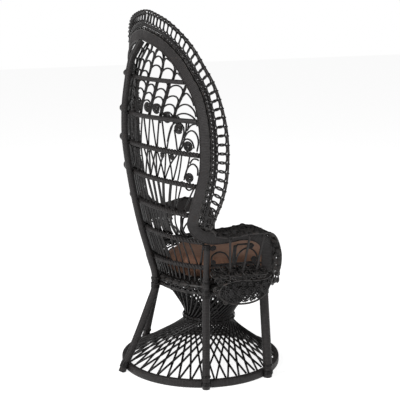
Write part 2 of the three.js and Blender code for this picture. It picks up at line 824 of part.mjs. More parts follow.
// A wave that runs along the flap between the loop's top and bottom
function flapWave(flap) {
  const curve = flapCurve(flap);
  const points = [];
  const halfWaves = 11;
  const steps = 4;
  const inset = borderRodRadius + flap.seat * gap + flapLaceRadius;
  for (let i = 0; i <= halfWaves * steps; i += 1) {
    const part = i / (halfWaves * steps);
    const upper = curve.getPoint(0.07 + 0.32 * part);
    const lower = curve.getPoint(0.93 - 0.34 * part);
    const step = lower.clone().sub(upper).setLength(inset);
    upper.add(step);
    lower.sub(step);
    const phase = i / steps;
    const swing = 0.5 - 0.5 * Math.cos(Math.PI * phase);
    points.push(lower.lerp(upper, swing));
  }
  return rod(points, flapLaceRadius, 4);
}

function cushion() {
  const profile = [
    [0, 0], [0.86, 0], [0.97, 0.16], [1, 0.46], [0.97, 0.76], [0.84, 0.93], [0.5, 0.99], [0, 1],
  ].map(([r, z]) => new THREE.Vector2(r * cushionHalfDepth, z * cushionHeight));
  const geometry = new THREE.LatheGeometry(profile, 28);
  geometry.rotateX(Math.PI / 2);
  geometry.scale(cushionHalfWidth / cushionHalfDepth, 1, 1);
  geometry.translate(0, cushionCentreY, deckTop + gap);
  return outward(geometry);
}

function seatDeck() {
  const profile = [[0, 0], [1, 0], [1, 1], [0, 1]].map(([r, z]) => (
    new THREE.Vector2(r * seatHalfDepth, z * deckThickness)
  ));
  const geometry = new THREE.LatheGeometry(profile, 32);
  geometry.rotateX(Math.PI / 2);
  geometry.scale(seatHalfWidth / seatHalfDepth, 1, 1);
  geometry.translate(0, seatCentreY, deckBottom);
  return outward(geometry);
}

function crossBar(yShare) {
  const inner = seatHalfDepth - seatRingRadius;
  const y = seatCentreY + yShare * inner;
  const angle = Math.asin(Math.abs(yShare) + (crossBarRadius + gap) / inner);
  const reach = (seatHalfWidth - seatRingRadius) * Math.cos(angle) - gap;
  const ends = [-reach, reach].map((x) => new THREE.Vector3(x, y, crossBarHeight));
  return rod(ends, crossBarRadius, 6);
}

// The chair
const chair = new THREE.Group();
chair.name = 'peacock_chair';
const rattan = () => material(rattanColour, 0.55);
const wrap = () => material(wrapColour, 0.6);
const cane = () => material(caneColour, 0.5);

function place(name, geometry, finish) {
  const mesh = new THREE.Mesh(geometry, finish);
  mesh.name = name;
  chair.add(mesh);
  return mesh;
}

function placePair(name, geometry, finish) {
  place(`${name}_left`, geometry, finish());
  place(`${name}_right`, mirrored(geometry), finish());
}

const floorRing = turnedRing(
  floorRingRadius - floorRingWidth / 2,
  flatProfile(floorRingWidth, floorRingHeight),
  48,
);
place('floor_ring', floorRing, wrap());

const topRing = turnedRing(topRingRadius, flatProfile(topRingWidth, topRingHeight), 32);
topRing.translate(0, seatCentreY, topRingBottom);
place('base_top_ring', topRing, rattan());
place('base_canes_outer', spokeLayer(1, 0), cane());
place('base_canes_inner', spokeLayer(-1, layerStep), cane());

const neckBinding = turnedRing(
  neckRadius + caneRadius + borderRodRadius + 3 * gap,
  roundProfile(borderRodRadius, 5),
  36,
);
neckBinding.translate(0, neckCentreY, neckHeight);
place('neck_binding', neckBinding, rattan());

const upperRing = ovalRing(0, seatRingRadius, 6, 48);
upperRing.translate(0, seatCentreY, seatHeight);
place('seat_ring_upper', upperRing, wrap());
const lowerRing = ovalRing(seatRingRadius - lowerRingRadius, lowerRingRadius, 6, 48);
lowerRing.translate(0, seatCentreY, seatHeight - seatRingDrop);
place('seat_ring_lower', lowerRing, wrap());
place('seat_cross_bar_front', crossBar(-0.45), rattan());
place('seat_cross_bar_rear', crossBar(0.45), rattan());
place('seat_deck', seatDeck(), cane());
place('seat_cushion', cushion(), material(cushionColour, 0.95));

place('spine_pole', spinePole(), wrap());
placePair('rear_post', post(), wrap);
placePair('front_leg', frontLeg(), wrap);

placePair('hoop_band', hoopBand(), wrap);
placePair('border_inner_rod', borderRod(0), rattan);
placePair('border_outer_rod', borderRod(1), rattan);
placePair('border_lace_front', borderStrand(1), cane);
placePair('border_lace_back', borderStrand(-1), cane);

railHeightShares.forEach((share, i) => {
  place(`back_rail_${i + 1}`, backRail(i + 1), wrap());
});
place('back_crown_lattice', crownLattice(), cane());
place('back_scale_lattice', scaleLattice(), cane());
const atRail = (number, lower = 0) => (share) => railZ(number, share) - lower;
const belowRail = 3 * strandRadius;
place(
  'back_slant_canes',
  slantRun(atRail(3), atRail(2, 2 * rosetteRadius), 14, true, caneForward - gap),
  cane(),
);
[1, -1].forEach((layer) => {
  const forward = caneForward + (layer > 0 ? gap : 2 * (strandRadius + gap));
  const run = slantRun(atRail(4), atRail(3, belowRail), 12, layer > 0, forward);
  place(`back_cross_canes_${layer > 0 ? 'rear' : 'front'}`, run, cane());
});
place(
  'back_stakes_middle',
  stakeRun(atRail(6), atRail(5), atRail(4, belowRail), 18),
  cane(),
);
place(
  'back_stakes_lower',
  stakeRun(() => kneeHigh, atRail(7), atRail(6, belowRail), 18),
  cane(),
);

placePair('arm_side_rail', sideRail(), rattan);
placePair('arm_flare', woveFlare(), cane);
stickShares.forEach(([foot, head], i) => {
  placePair(`arm_stick_${i + 1}`, armStick(foot, head), rattan);
});
placePair('arm_arches', armArches(), cane);
placePair('side_flap_rod', flapLoop(sideFlap), rattan);
placePair('side_flap_lace', flapWave(sideFlap), cane);
place('front_flap_rod', flapLoop(frontFlap), rattan());
place('front_flap_lace', flapWave(frontFlap), cane());

// The chair's box is centred on the origin in plan
const extent = new THREE.Box3().setFromObject(chair);
chair.children.forEach((mesh) => {
  mesh.geometry.translate(0, -(extent.min.y + extent.max.y) / 2, 0);
});

export default chair;
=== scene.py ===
import bpy
import numpy as np
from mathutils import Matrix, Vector


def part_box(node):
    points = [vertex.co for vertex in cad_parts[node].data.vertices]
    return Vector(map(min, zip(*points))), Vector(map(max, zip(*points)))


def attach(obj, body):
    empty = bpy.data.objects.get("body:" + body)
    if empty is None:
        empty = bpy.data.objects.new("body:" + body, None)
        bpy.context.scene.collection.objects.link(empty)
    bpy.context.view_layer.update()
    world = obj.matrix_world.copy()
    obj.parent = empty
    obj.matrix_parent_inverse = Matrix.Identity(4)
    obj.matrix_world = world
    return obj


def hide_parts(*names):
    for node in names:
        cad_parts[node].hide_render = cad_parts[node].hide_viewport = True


bl_info = {
    "name": "Peacock Chair",
    "version": (1, 0, 0),
    "blender": (4, 5, 0),
    "location": "3D View > Sidebar > Peacock Chair",
    "description": "Dresses the frame of a rattan peacock chair: wound poles, lace border and cushion",
    "category": "Object",
}

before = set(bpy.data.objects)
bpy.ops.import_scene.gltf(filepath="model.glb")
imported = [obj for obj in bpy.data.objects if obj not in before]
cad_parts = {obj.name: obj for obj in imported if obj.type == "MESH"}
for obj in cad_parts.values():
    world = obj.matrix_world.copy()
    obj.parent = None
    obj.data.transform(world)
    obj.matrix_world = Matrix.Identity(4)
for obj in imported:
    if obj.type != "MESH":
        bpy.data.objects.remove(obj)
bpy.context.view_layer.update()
RING_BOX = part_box("floor_ring")
# The curves below are measured in millimetres from the middle of the floor ring
RING_Y = (RING_BOX[0].y + RING_BOX[1].y) / 2
TAU = 2 * np.pi
UP = np.array([0, 0, 1.0])

# Hoop: half width, depth at the spine and height, then places along its inner edge as parts of them
HOOP_SIZE = np.array([-366.0, 337.0, 1392.0])
HOOP_EDGE = np.array([
    [0, 0.751, 1], [0.17, 0.75, 0.994], [0.41, 0.717, 0.979], [0.585, 0.682, 0.956],
    [0.716, 0.639, 0.929], [0.806, 0.586, 0.893], [0.895, 0.531, 0.85], [0.957, 0.502, 0.792],
    [0.992, 0.496, 0.731], [0.992, 0.499, 0.664], [0.945, 0.512, 0.615], [0.867, 0.525, 0.571],
    [0.788, 0.54, 0.523], [0.724, 0.53, 0.483], [0.705, 0.43, 0.446], [0.713, 0.265, 0.424],
    [0.732, 0.148, 0.421], [0.757, 0, 0.423], [0.774, -0.165, 0.428], [0.78, -0.3, 0.423],
    [0.778, -0.4, 0.407], [0.772, -0.43, 0.378], [0.768, -0.435, 0.35], [0.763, -0.43, 0.329],
]) * HOOP_SIZE
SPANS = len(HOOP_EDGE) - 1
BAND_WIDTH = np.array([
    1, 1, 1, 1, 1, 1, 1, 1, 1, 1, 1, 1, 1.02, 1.05, 1.1, 1.22, 1.3, 1.34, 1.34, 1.24, 1.1, 1, 1, 1,
])[:, None] * 46
# Which way the band's flat side, and the border outside it, lie at the same places
BAND_DIRECTION = np.array([
    [0, -0.1, 1], [-0.17, -0.14, 0.975], [-0.3, -0.2, 0.92], [-0.52, -0.31, 0.79],
    [-0.7, -0.42, 0.57], [-0.76, -0.5, 0.4], [-0.77, -0.57, 0.26], [-0.76, -0.62, 0.15],
    [-0.73, -0.67, 0.04], [-0.73, -0.68, -0.1], [-0.68, -0.68, -0.26], [-0.64, -0.71, -0.28],
    [-0.58, -0.78, -0.2], [-0.45, -0.87, 0.05], [-0.3, -0.72, 0.6], [-0.17, -0.36, 0.91],
    [-0.12, -0.08, 0.99], [-0.12, 0, 0.99], [-0.12, 0.08, 0.98], [-0.2, -0.25, 0.93],
    [-0.3, -0.75, 0.6], [-0.42, -0.86, 0.25], [-0.46, -0.88, 0.02], [-0.46, -0.88, 0],
])
BORDER_DIRECTION = np.array([
    [0, -0.18, 0.98], [-0.15, -0.14, 0.98], [-0.35, -0.1, 0.93], [-0.52, -0.15, 0.84],
    [-0.66, -0.2, 0.72], [-0.77, -0.25, 0.58], [-0.82, -0.36, 0.42], [-0.86, -0.46, 0.2],
    [-0.87, -0.49, 0.04], [-0.87, -0.49, -0.06], [-0.84, -0.5, -0.2], [-0.85, -0.5, -0.15],
    [-0.86, -0.5, -0.05], [-0.86, -0.5, 0.05], [-0.92, -0.36, 0.05], [-0.95, -0.2, -0.1],
    [-0.95, -0.1, -0.32], [-0.95, 0, -0.38], [-0.94, -0.04, -0.38], [-0.93, -0.2, -0.3],
    [-0.72, -0.66, -0.1], [-0.62, -0.78, 0], [-0.6, -0.8, 0], [-0.6, -0.8, 0],
])
BORDER_WIDTH = np.array([
    0.93, 0.93, 0.93, 0.93, 0.93, 0.92, 0.9, 0.95, 1, 1, 0.98, 0.91,
    0.8, 0.6, 0.46, 0.56, 0.76, 0.88, 0.88, 0.72, 0.36, 0.42, 0.39, 0.31,
])[:, None] * 75
BAND_THICKNESS = 12.0
BORDER_SEAT = 4.5  # from the band's edge to the centre of the border's first rod
BORDER_JOINTS = np.array([0.07, 0.2, 0.36, 0.52, 0.68, 0.84])
BORDER_GROWS = 700.0  # the border's rings grow over this length from the apex
WAIST, ARM_FOOT = 15 / SPANS, 22.2 / SPANS

SPINE = np.array([
    [0, 365.98, 0], [0, 349.81, 36.05], [0, 322.85, 86.03], [0, 285.1, 169.96],
    [0, 236.57, 287.03], [0, 210.755, 355], [0, 210.755, 419], [0, 231.52, 491.38],
    [0, 267.92, 618.05], [0, 295.89, 739.15], [0, 315.1, 843.55], [0, 334.3, 979.97],
    [0, 337, 1080.19], [0, 330.93, 1170.67], [0, 308.02, 1302.91], [0, 284.09, 1353.02],
    [0, 260.84, 1390.47],
])
SPINE_KNEE, POST_KNEE = 0.375, 0.76  # where the pole grows thinner, as a share of its length
KNEE = (355.0, 419.0)  # the poles stand upright between these heights
SEAT_HALF = np.array([270.0, 241.0])
SEAT_Y = -58.0
RING_RADIUS, RING_MIDDLE = 330.0, 17.0  # the floor ring's middle line and its height
TOP_RING_RADIUS, TOP_RING_MIDDLE = 216.7, 390.7
NECK_Y, NECK_HEIGHT, NECK_RADIUS, NECK_BINDING = -40.0, 201.0, 100.0, 109.3
RAIL_HEIGHTS = np.array([0.898, 0.793, 0.707, 0.618, 0.529, 0.446, 0.353]) * HOOP_SIZE[2]
RAIL_DROOPS = np.array([0.002, 0.002, 0.009, 0.01, 0.01, 0.018, 0.004]) * HOOP_SIZE[2]
ARM_RAIL_HEIGHT = RAIL_HEIGHTS[-1]
BOW = 2.2  # the power that bows the back's plan
SPINE_TO_FIELD = 19.97  # from the spine's middle line forward to the field
RAIL_HALF = 4.25  # the field clears the spine this far below and above each height
POST_TO_FIELD = 13.0  # from a side pole's middle line in to the field


def spline(points, t, closed=False):
    """Each span is the cubic whose slope at either end is half the chord between the points beside it."""
    p = np.asarray(points, float)
    t = np.asarray(t, float)
    if closed:
        q, x, last = np.concatenate([p[-1:], p, p[:2]]), (t % 1.0) * len(p), len(p) - 1
    else:
        q = np.concatenate([2 * p[:1] - p[1:2], p, 2 * p[-1:] - p[-2:-1]])
        x, last = np.clip(t, 0, 1) * (len(p) - 1), len(p) - 2
    i = np.clip(x.astype(int), 0, last)
    f = (x - i)[..., None]
    a, b, c, d = q[i], q[i + 1], q[i + 2], q[i + 3]
    bend = 2 * a - 5 * b + 4 * c - d
    return 0.5 * (2 * b + (c - a) * f + bend * f**2 + (3 * b - a - 3 * c + d) * f**3)


def unit(v):
    """Each vector over its own length."""
    return v / np.maximum(np.linalg.norm(v, axis=-1, keepdims=True), 1e-9)


def square_to(v, run):
    """v less its part along run, over its length."""
    return unit(v - np.sum(v * run, -1, keepdims=True) * run)


def kept_sign(v, power):
    """The size of v raised to a power, with the sign of v."""
    return np.sign(v) * np.abs(v)**power


def distance_along(points):
    """Running sum of the steps between neighbouring points."""
    steps = np.linalg.norm(np.diff(points, axis=0), axis=1)
    return np.concatenate([[0.0], np.cumsum(steps)])


def even(points, spacing):
    """Points at even steps along a line of points, each worked out between its two neighbours."""
    far = distance_along(points)
    count = max(2 * int(round(far[-1] / spacing / 2)), 2)
    at = np.linspace(0, far[-1], count + 1)
    return np.stack([np.interp(at, far, points[:, k]) for k in range(3)], -1)


def oval(across, along, y, angle, height):
    """across × cosine of the angle, y + along × its sine, and the height."""
    return np.stack(np.broadcast_arrays(across * np.cos(angle), y + along * np.sin(angle), height), -1)


def circle(radius, angle, height, y=0.0):
    """An oval as wide as it is deep."""
    return oval(radius, radius, y, angle, height)


def seat_oval(beyond, degrees, height):
    """The seat's oval with `beyond` added to both its halves."""
    return oval(SEAT_HALF[0] + beyond, SEAT_HALF[1] + beyond, SEAT_Y, np.radians(degrees), height)


def seat_spot(beyond, degrees, height):
    """A place outside the seat's oval, and the way the oval runs there."""
    here, there = seat_oval(beyond, degrees + np.array([0, 1.0]), height)
    return here, unit(there - here)


def hoop(t):
    """The hoop's inner edge at t, the way it runs, the way its flat side lies and the band's
    width: every value is the same cubic between the measured places."""
    t = np.asarray(t, float)
    run = unit(spline(HOOP_EDGE, t + 1e-4) - spline(HOOP_EDGE, t - 1e-4))
    run = np.where(t[..., None] < 1e-6, [-1.0, 0, 0], run)
    return spline(HOOP_EDGE, t), run, square_to(spline(BAND_DIRECTION, t), run), spline(BAND_WIDTH, t)[..., 0]


def flare(t):
    """The way the border flares out at t, the way it faces, and its width."""
    run = hoop(t)[1]
    out = square_to(spline(BORDER_DIRECTION, t), run)
    return out, unit(np.cross(run, out)), spline(BORDER_WIDTH, t)[..., 0]


def border(t, away, lift=0.0):
    """A place on the border: `away` mm from its first rod, and `lift` mm the way it faces."""
    edge, _, flat, wide = hoop(t)
    out, face, _ = flare(t)
    away, lift = (np.asarray(v, float)[..., None] for v in (away, lift))
    return edge + flat * (wide + BORDER_SEAT)[..., None] + out * away + face * lift


def border_scale(away, start, end):
    """How far along the border each t between two lies, at `away` mm from its first rod."""
    t = np.linspace(start, end, 3000)
    return distance_along(border(t, away)), t


def foot(degrees, radius, height):
    """The middle of a pole that stands 0.3 mm outside the floor ring."""
    return circle(RING_RADIUS + 0.3 + radius, np.radians(degrees), height)


POST = np.array([
    foot(159.4, 16.5, 0), foot(159.4, 16.5, 50.5),
    seat_oval(28.1, 147, KNEE[0]), seat_oval(28.1, 147, KNEE[1]),
    [HOOP_EDGE[15, 0], HOOP_EDGE[15, 1], 583.7],
])
FRONT_LEG = np.array([
    foot(209, 19.5, 0), foot(209, 19.5, 50.5),
    seat_oval(31.1, 202.5, KNEE[0]), seat_oval(31.1, 202.5, KNEE[1]),
])
WING = spline(HOOP_EDGE, np.linspace(WAIST, 0, 3000))
POST_LINE = spline(POST, np.linspace(0.5, 1, 1500))
SPINE_LINE = spline(SPINE, np.linspace(0.35, 1, 4000))


def read_off(line, height):
    """A line's x and y at each height."""
    return np.interp(height, line[:, 2], line[:, 0]), np.interp(height, line[:, 2], line[:, 1])


def field_side(height):
    """Where the field meets the hoop's edge, or the side pole below it, at each height."""
    low = height < WING[0, 2]
    x, y = read_off(WING, height)
    post_x, post_y = read_off(POST_LINE, height)
    return np.where(low, post_x + POST_TO_FIELD, x), np.where(low, post_y, y)


def field(share, height, forward=0.0):
    """The sheet that the back is woven on. Its plan is the share of the half width, to the power
    BOW, times the depth from the spine to the hoop; `forward` moves it square to that plan."""
    share, height, forward = np.broadcast_arrays(*(np.asarray(v, float) for v in (share, height, forward)))
    x, y = field_side(height)
    below, above = (read_off(SPINE_LINE, height + step)[1] for step in (-RAIL_HALF, RAIL_HALF))
    behind = np.minimum(below, above) - SPINE_TO_FIELD
    depth, size = y - behind, np.abs(share)
    square_x, square_y = depth * np.sign(share) * BOW * size**(BOW - 1), x
    moved = forward / np.hypot(square_x, square_y)
    return np.stack([moved * square_x - x * share, behind + depth * size**BOW + moved * square_y, height], -1)


def rail_height(number, share):
    """A rail's height, less its droop times the share of the half width squared."""
    return RAIL_HEIGHTS[number - 1] - RAIL_DROOPS[number - 1] * np.asarray(share)**2


def tube_faces(rows, sides, closed=False):
    """Faces between neighbouring rings of points. Where the rings don't close on themselves, a fan
    shuts either end round a middle point: the two middle points come after all the rings."""
    i, j = np.meshgrid(np.arange(rows if closed else rows - 1), np.arange(sides), indexing="ij")
    i, j = i.ravel(), j.ravel()
    i2, j2 = (i + 1) % rows, (j + 1) % sides
    quads = np.stack([i * sides + j, i * sides + j2, i2 * sides + j2, i2 * sides + j], -1)
    k = np.arange(0 if closed else sides)
    k2, last = (k + 1) % sides, (rows - 1) * sides
    middle = np.full(len(k), rows * sides)
    fans = np.concatenate([np.stack([middle, k2, k], -1), np.stack([middle + 1, last + k, last + k2], -1)])
    return i, j, quads, fans


def without_uv(points, quads, tris):
    """A shape whose UV isn't used: all of it is zero."""
    return points, quads, np.zeros((len(quads), 4, 2)), tris, np.zeros((len(tris), 3, 2))


def sweep(path, section, toward=None, closed=False):
    """Each ring of points lies at path + a × side + b × top for the section's points (a, b). The
    side is square to the path and to `toward`, which is the direction that the path bends least
    about where none is given, and the top is square to both. UV runs once round, and along in m."""
    path = np.asarray(path, float)
    path = path[None] if path.ndim == 2 else path
    patches, rows = path.shape[:2]
    if closed:
        run = unit(np.roll(path, -1, 1) - np.roll(path, 1, 1))
    else:
        run = unit(np.gradient(path, axis=1))
    if toward is None:
        spread = np.einsum("pri,prj->pij", run, run)
        toward = np.linalg.eigh(spread)[1][:, None, :, 0]
    side = unit(np.cross(toward, run))
    top = np.cross(run, side)
    section = np.broadcast_to(section, (patches, rows) + np.shape(section)[-2:])
    sides = section.shape[2]
    ring = path[:, :, None] + section[..., :1] * side[:, :, None] + section[..., 1:] * top[:, :, None]
    ends = path[:, :0] if closed else path[:, [0, -1]]
    points = np.concatenate([ring.reshape(patches, -1, 3), ends], 1)
    i, j, quads, fans = tube_faces(rows, sides, closed)
    start = (np.arange(patches) * points.shape[1])[:, None, None]
    tris = (fans[None] + start).reshape(-1, 3)
    steps = np.linalg.norm(path - np.roll(path, 1, 1), axis=2)
    far = np.cumsum(steps, 1) - steps[:, :1]
    far = np.concatenate([far, far[:, -1:] + steps[:, :1]], 1) / 1000
    u = np.stack([j, j + 1, j + 1, j], -1) / sides
    v = np.stack([far[:, i], far[:, i], far[:, i + 1], far[:, i + 1]], -1)
    quad_uv = np.stack([np.broadcast_to(u, v.shape), v], -1).reshape(-1, 4, 2)
    points, quads = points.reshape(-1, 3), (quads[None] + start).reshape(-1, 4)
    return points, quads, quad_uv, tris, np.zeros((len(tris), 3, 2))


def section_angles(sides):
    """Even angles round a section, half a step past the first."""
    return TAU * (np.arange(sides) + 0.5) / sides


def slab_section(width, thickness, sides, square):
    """A rounded oblong: half the width and thickness times cosine and sine, each raised to a low power."""
    a = section_angles(sides)
    halves = (np.asarray(v, float)[..., None] / 2 for v in (width, thickness))
    return np.stack([half * kept_sign(way, square) for half, way in zip(halves, (np.cos(a), np.sin(a)))], -1)


def rod(path, radius, sides=6, toward=None, closed=False, flat=1.0):
    """Radius × (cosine, flat × sine) at even angles, carried along each path."""
    a = section_angles(sides)
    section = np.asarray(radius, float)[..., None, None] * np.stack([np.cos(a), flat * np.sin(a)], -1)
    return sweep(path, section, toward, closed)


def wound(line, radius, pitch, depth=0.45, sides=12, toward=None):
    """A rod wound with cane: its radius falls by `depth` between the turns, one pitch apart."""
    points = even(line, pitch / 2)
    far = np.linspace(0, 1, len(points))
    radius = np.interp(far, np.linspace(0, 1, np.size(radius)), np.atleast_1d(radius))
    return rod(points, radius - depth * (np.arange(len(points)) % 2), sides, toward)


def cut_at_floor(shape):
    """The shape with every point below the floor brought up to it."""
    return (np.maximum(shape[0], [-np.inf, -np.inf, 0]),) + shape[1:]


def together(shapes):
    """Several shapes as one, each with its point numbers moved past those before it."""
    counts = np.cumsum([0] + [len(s[0]) for s in shapes[:-1]])
    moved = [(s[0], s[1] + n, s[2], s[3] + n, s[4]) for s, n in zip(shapes, counts)]
    return tuple(np.concatenate(part) for part in zip(*moved))


def mirrored(shape):
    """The shape with x turned to minus x, and each face the other way round."""
    points, quads, quad_uv, tris, tri_uv = shape
    return points * [-1, 1, 1], quads[:, ::-1], quad_uv[:, ::-1], tris[:, ::-1], tri_uv[:, ::-1]


def turns(centre, axis, radius, width, cane, per_turn=12, first=(1.0, 0, 0)):
    """A lashing: a cane wound side by side about an axis. Its line is the circle of `radius`, or the
    oval of two radii, at an angle, moved along the axis by `width` times how far round it is."""
    axis = unit(np.asarray(axis, float))
    u = square_to(first, axis)
    v = np.cross(axis, u)
    count = max(int(round(width / (2 * cane))), 1)
    s = np.linspace(0, 1, count * per_turn + 1)[:, None]
    a = TAU * count * s
    across, along = radius * np.ones(2)
    line = centre + across * np.cos(a) * u + along * np.sin(a) * v + (s - 0.5) * (width - 2 * cane) * axis
    return rod(line, cane, 5, axis)


def coil(centre, across, rise, reach, cane, rounds, start=0.0):
    """A flat spiral: its reach grows with the angle, from its middle out to one cane inside `reach`."""
    s = np.linspace(0, 1, int(14 * rounds) + 1)[:, None]
    a = start + TAU * rounds * s
    r = 0.3 * cane + (reach - 1.3 * cane) * s**0.8
    across, rise = np.asarray(across, float), np.asarray(rise, float)
    return rod(centre + r * np.cos(a) * across + r * np.sin(a) * rise, cane, 5, np.cross(across, rise))


def pole_line(points):
    """A pole's middle line: 600 places on the cubic through its knots."""
    return spline(points, np.linspace(0, 1, 600))


def pole_radius(share, below, above):
    """A pole's radius along it: one value up to a share of its length and another past that."""
    return np.where(np.linspace(0, 1, 200) < share, below, above)


def at_height(line, height):
    """The place and direction of a line of points at a height."""
    k = int(np.argmin(np.abs(line[:, 2] - height)))
    k = min(max(k, 1), len(line) - 2)
    return line[k], unit(line[k + 1] - line[k - 1])


def lashing(line, height, radius, width, cane, forward=0.0):
    """Turns of cane round a pole at a height, their middle `forward` mm in front of the pole's."""
    centre, run = at_height(line, height)
    return turns(centre - [0, forward, 0], run, radius, width, cane)


def box_mm(node):
    """The lowest and highest corner of a solid, in mm from the floor ring's middle."""
    return [np.array(v) * 1000 - [0, RING_Y * 1000, 0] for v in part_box(node)]


def linear(hex_value):
    """Each sRGB byte over 255, over 12.92 where it is small, otherwise raised to the power 2.4."""
    c = np.array([int(hex_value[i:i + 2], 16) for i in (1, 3, 5)]) / 255
    c = np.where(c <= 0.04045, c / 12.92, ((c + 0.055) / 1.055)**2.4)
    return tuple(c) + (1.0,)


def as_hex(colour):
    """The sRGB hex of a colour that Blender keeps linear: the reverse of `linear`."""
    c = np.array(colour[:3])
    c = np.where(c <= 0.0031308, c * 12.92, 1.055 * c**(1 / 2.4) - 0.055)
    return "#%02x%02x%02x" % tuple(int(round(v * 255)) for v in c)


def shade(hex_value, by):
    """The sRGB colour with each byte moved by `by`."""
    parts = [min(max(int(hex_value[i:i + 2], 16) + by, 0), 255) for i in (1, 3, 5)]
    return "#%02x%02x%02x" % tuple(parts)


def add_node(tree, kind, inputs=(), **settings):
    """Adds one node, makes its settings, and sets each input to a value or links it to a socket."""
    node = tree.nodes.new("ShaderNode" + kind)
    for name, value in settings.items():
        setattr(node, name, value)
    for name, value in dict(inputs).items():
        if isinstance(value, bpy.types.NodeSocket):
            tree.links.new(value, node.inputs[name])
        else:
            node.inputs[name].default_value = value
    return node


def ramp(tree, factor, stops):
    """A colour ramp from (place, hex) stops."""
    node = add_node(tree, "ValToRGB", {"Fac": factor})
    elements = node.color_ramp.elements
    while len(elements) < len(stops):
        elements.new(0.5)
    for element, (place, colour) in zip(elements, stops):
        element.position, element.color = place, linear(colour)
    return node.outputs["Color"]


def blend(tree, how, factor, first, second):
    """Two colours mixed in the way named."""
    inputs = {0: factor, 6: first, 7: second}
    return add_node(tree, "Mix", inputs, data_type="RGBA", blend_type=how).outputs[2]


def maths(tree, operation, first, second):
    """One sum on two numbers."""
    return add_node(tree, "Math", {0: first, 1: second}, operation=operation).outputs[0]


def rescaled(tree, value, low, high, to_low, to_high):
    """A value's range from low to high drawn out in a straight line to another range, and held there."""
    inputs = {"Value": value, "From Min": low, "From Max": high, "To Min": to_low, "To Max": to_high}
    return add_node(tree, "MapRange", inputs).outputs["Result"]


def noise(tree, point, scale, detail, roughness=0.5):
    """The grey of a cloudy noise."""
    inputs = {"Vector": point, "Scale": scale, "Detail": detail, "Roughness": roughness}
    return add_node(tree, "TexNoise", inputs).outputs["Fac"]


def wave(tree, point, way, pitch, distortion, detail, detail_scale=1.0):
    """A sine wave along one axis, one period a pitch. The texture makes 20 radians of each unit, so
    its scale is a full turn over 20 times the pitch."""
    inputs = {"Vector": point, "Scale": TAU / 20 / pitch, "Distortion": distortion, "Detail": detail,
              "Detail Scale": detail_scale}
    return add_node(tree, "TexWave", inputs, bands_direction=way).outputs["Fac"]


def bumps(tree, *layers):
    """Bumps laid one on another, each from (height, strength, distance)."""
    normal = None
    for height, strength, distance in layers:
        inputs = {"Height": height, "Strength": strength, "Distance": distance}
        if normal is not None:
            inputs["Normal"] = normal
        normal = add_node(tree, "Bump", inputs).outputs["Normal"]
    return normal


def new_tree(owner):
    """The empty node tree of a material or a world."""
    owner.use_nodes = True
    owner.node_tree.nodes.clear()
    return owner.node_tree


def cane_material(name, colour, roughness, pitch, spread, wear, coat):
    """Stained cane. UV runs once round a piece, and along it in metres.

    A wave along the piece, one period a pitch, gives the turns of the winding and darkens the colour
    once a pitch: painted shade in the grooves between the turns of the wound peel, and darker bands a
    pitch apart on the rods and split cane; a noise stretched along the cane gives its grain; a coarse
    noise lets the worn brown of the cane through."""
    tree = new_tree(bpy.data.materials.new(name))
    place = add_node(tree, "TexCoord").outputs
    stretched = add_node(tree, "Mapping", {"Vector": place["UV"], "Scale": (9.0, 1 / pitch, 1.0)})
    grain = noise(tree, stretched.outputs["Vector"], 1.0, 3.0, 0.6)
    winding = wave(tree, place["UV"], "Y", pitch, 0.6, 1.0, 2.0)
    blotch = noise(tree, place["Object"], 55.0, 4.0, 0.62)
    darker, paler = shade(colour, -spread), shade(colour, spread + 4)
    tone = ramp(tree, grain, [(0.3, darker), (0.5, colour), (0.72, paler)])
    worn = rescaled(tree, blotch, 0.6, 0.78, 0.0, wear)
    brown = blend(tree, "MIX", worn, tone, linear("#6a5648"))
    # Painted shade: the wave darkens the colour in the groove between wound turns; on the rods and split
    # cane, darker bands at their longer pitch
    between = ramp(tree, winding, [(0.0, "#6e6e6e"), (0.35, "#ffffff")])
    shader = add_node(tree, "BsdfPrincipled", {
        "Base Color": blend(tree, "MULTIPLY", 1.0, brown, between),
        "Roughness": rescaled(tree, blotch, 0.3, 0.75, roughness - 0.08, roughness + 0.16),
        "Normal": bumps(tree, (winding, 0.6, 0.0006), (grain, 0.35, 0.0004)),
        "IOR": 1.5, "Specular IOR Level": 0.3, "Coat Weight": coat, "Coat Roughness": 0.22, "Coat IOR": 1.5})
    add_node(tree, "OutputMaterial", {"Surface": shader.outputs[0]})


def cloth_material(name, colour):
    """Brushed cotton: a plain weave of about 1 mm threads, drawn at 2.4 mm so that it shows, a
    soft sheen from the nap, and paler and darker patches all over it."""
    tree = new_tree(bpy.data.materials.new(name))
    point = add_node(tree, "TexCoord").outputs["Object"]
    warp, weft = (wave(tree, point, way, 0.0024, 1.2, 2.0) for way in "XY")
    weave = maths(tree, "MAXIMUM", warp, weft)
    nap = noise(tree, point, 22.0, 6.0, 0.65)
    fuzz = noise(tree, point, 420.0, 3.0, 0.7)
    tone = ramp(tree, nap, [(0.28, shade(colour, -9)), (0.5, colour), (0.74, shade(colour, 11))])
    speck = ramp(tree, fuzz, [(0.3, "#d8d8d8"), (0.7, "#ffffff")])
    shader = add_node(tree, "BsdfPrincipled", {
        "Base Color": blend(tree, "MULTIPLY", 1.0, tone, speck),
        "Normal": bumps(tree, (weave, 0.35, 0.0005), (fuzz, 0.3, 0.0006), (nap, 0.5, 0.004)),
        "Roughness": 0.92, "Specular IOR Level": 0.25, "Sheen Weight": 0.35, "Sheen Roughness": 0.5,
        "Sheen Tint": linear("#c9b2a2")})
    add_node(tree, "OutputMaterial", {"Surface": shader.outputs[0]})


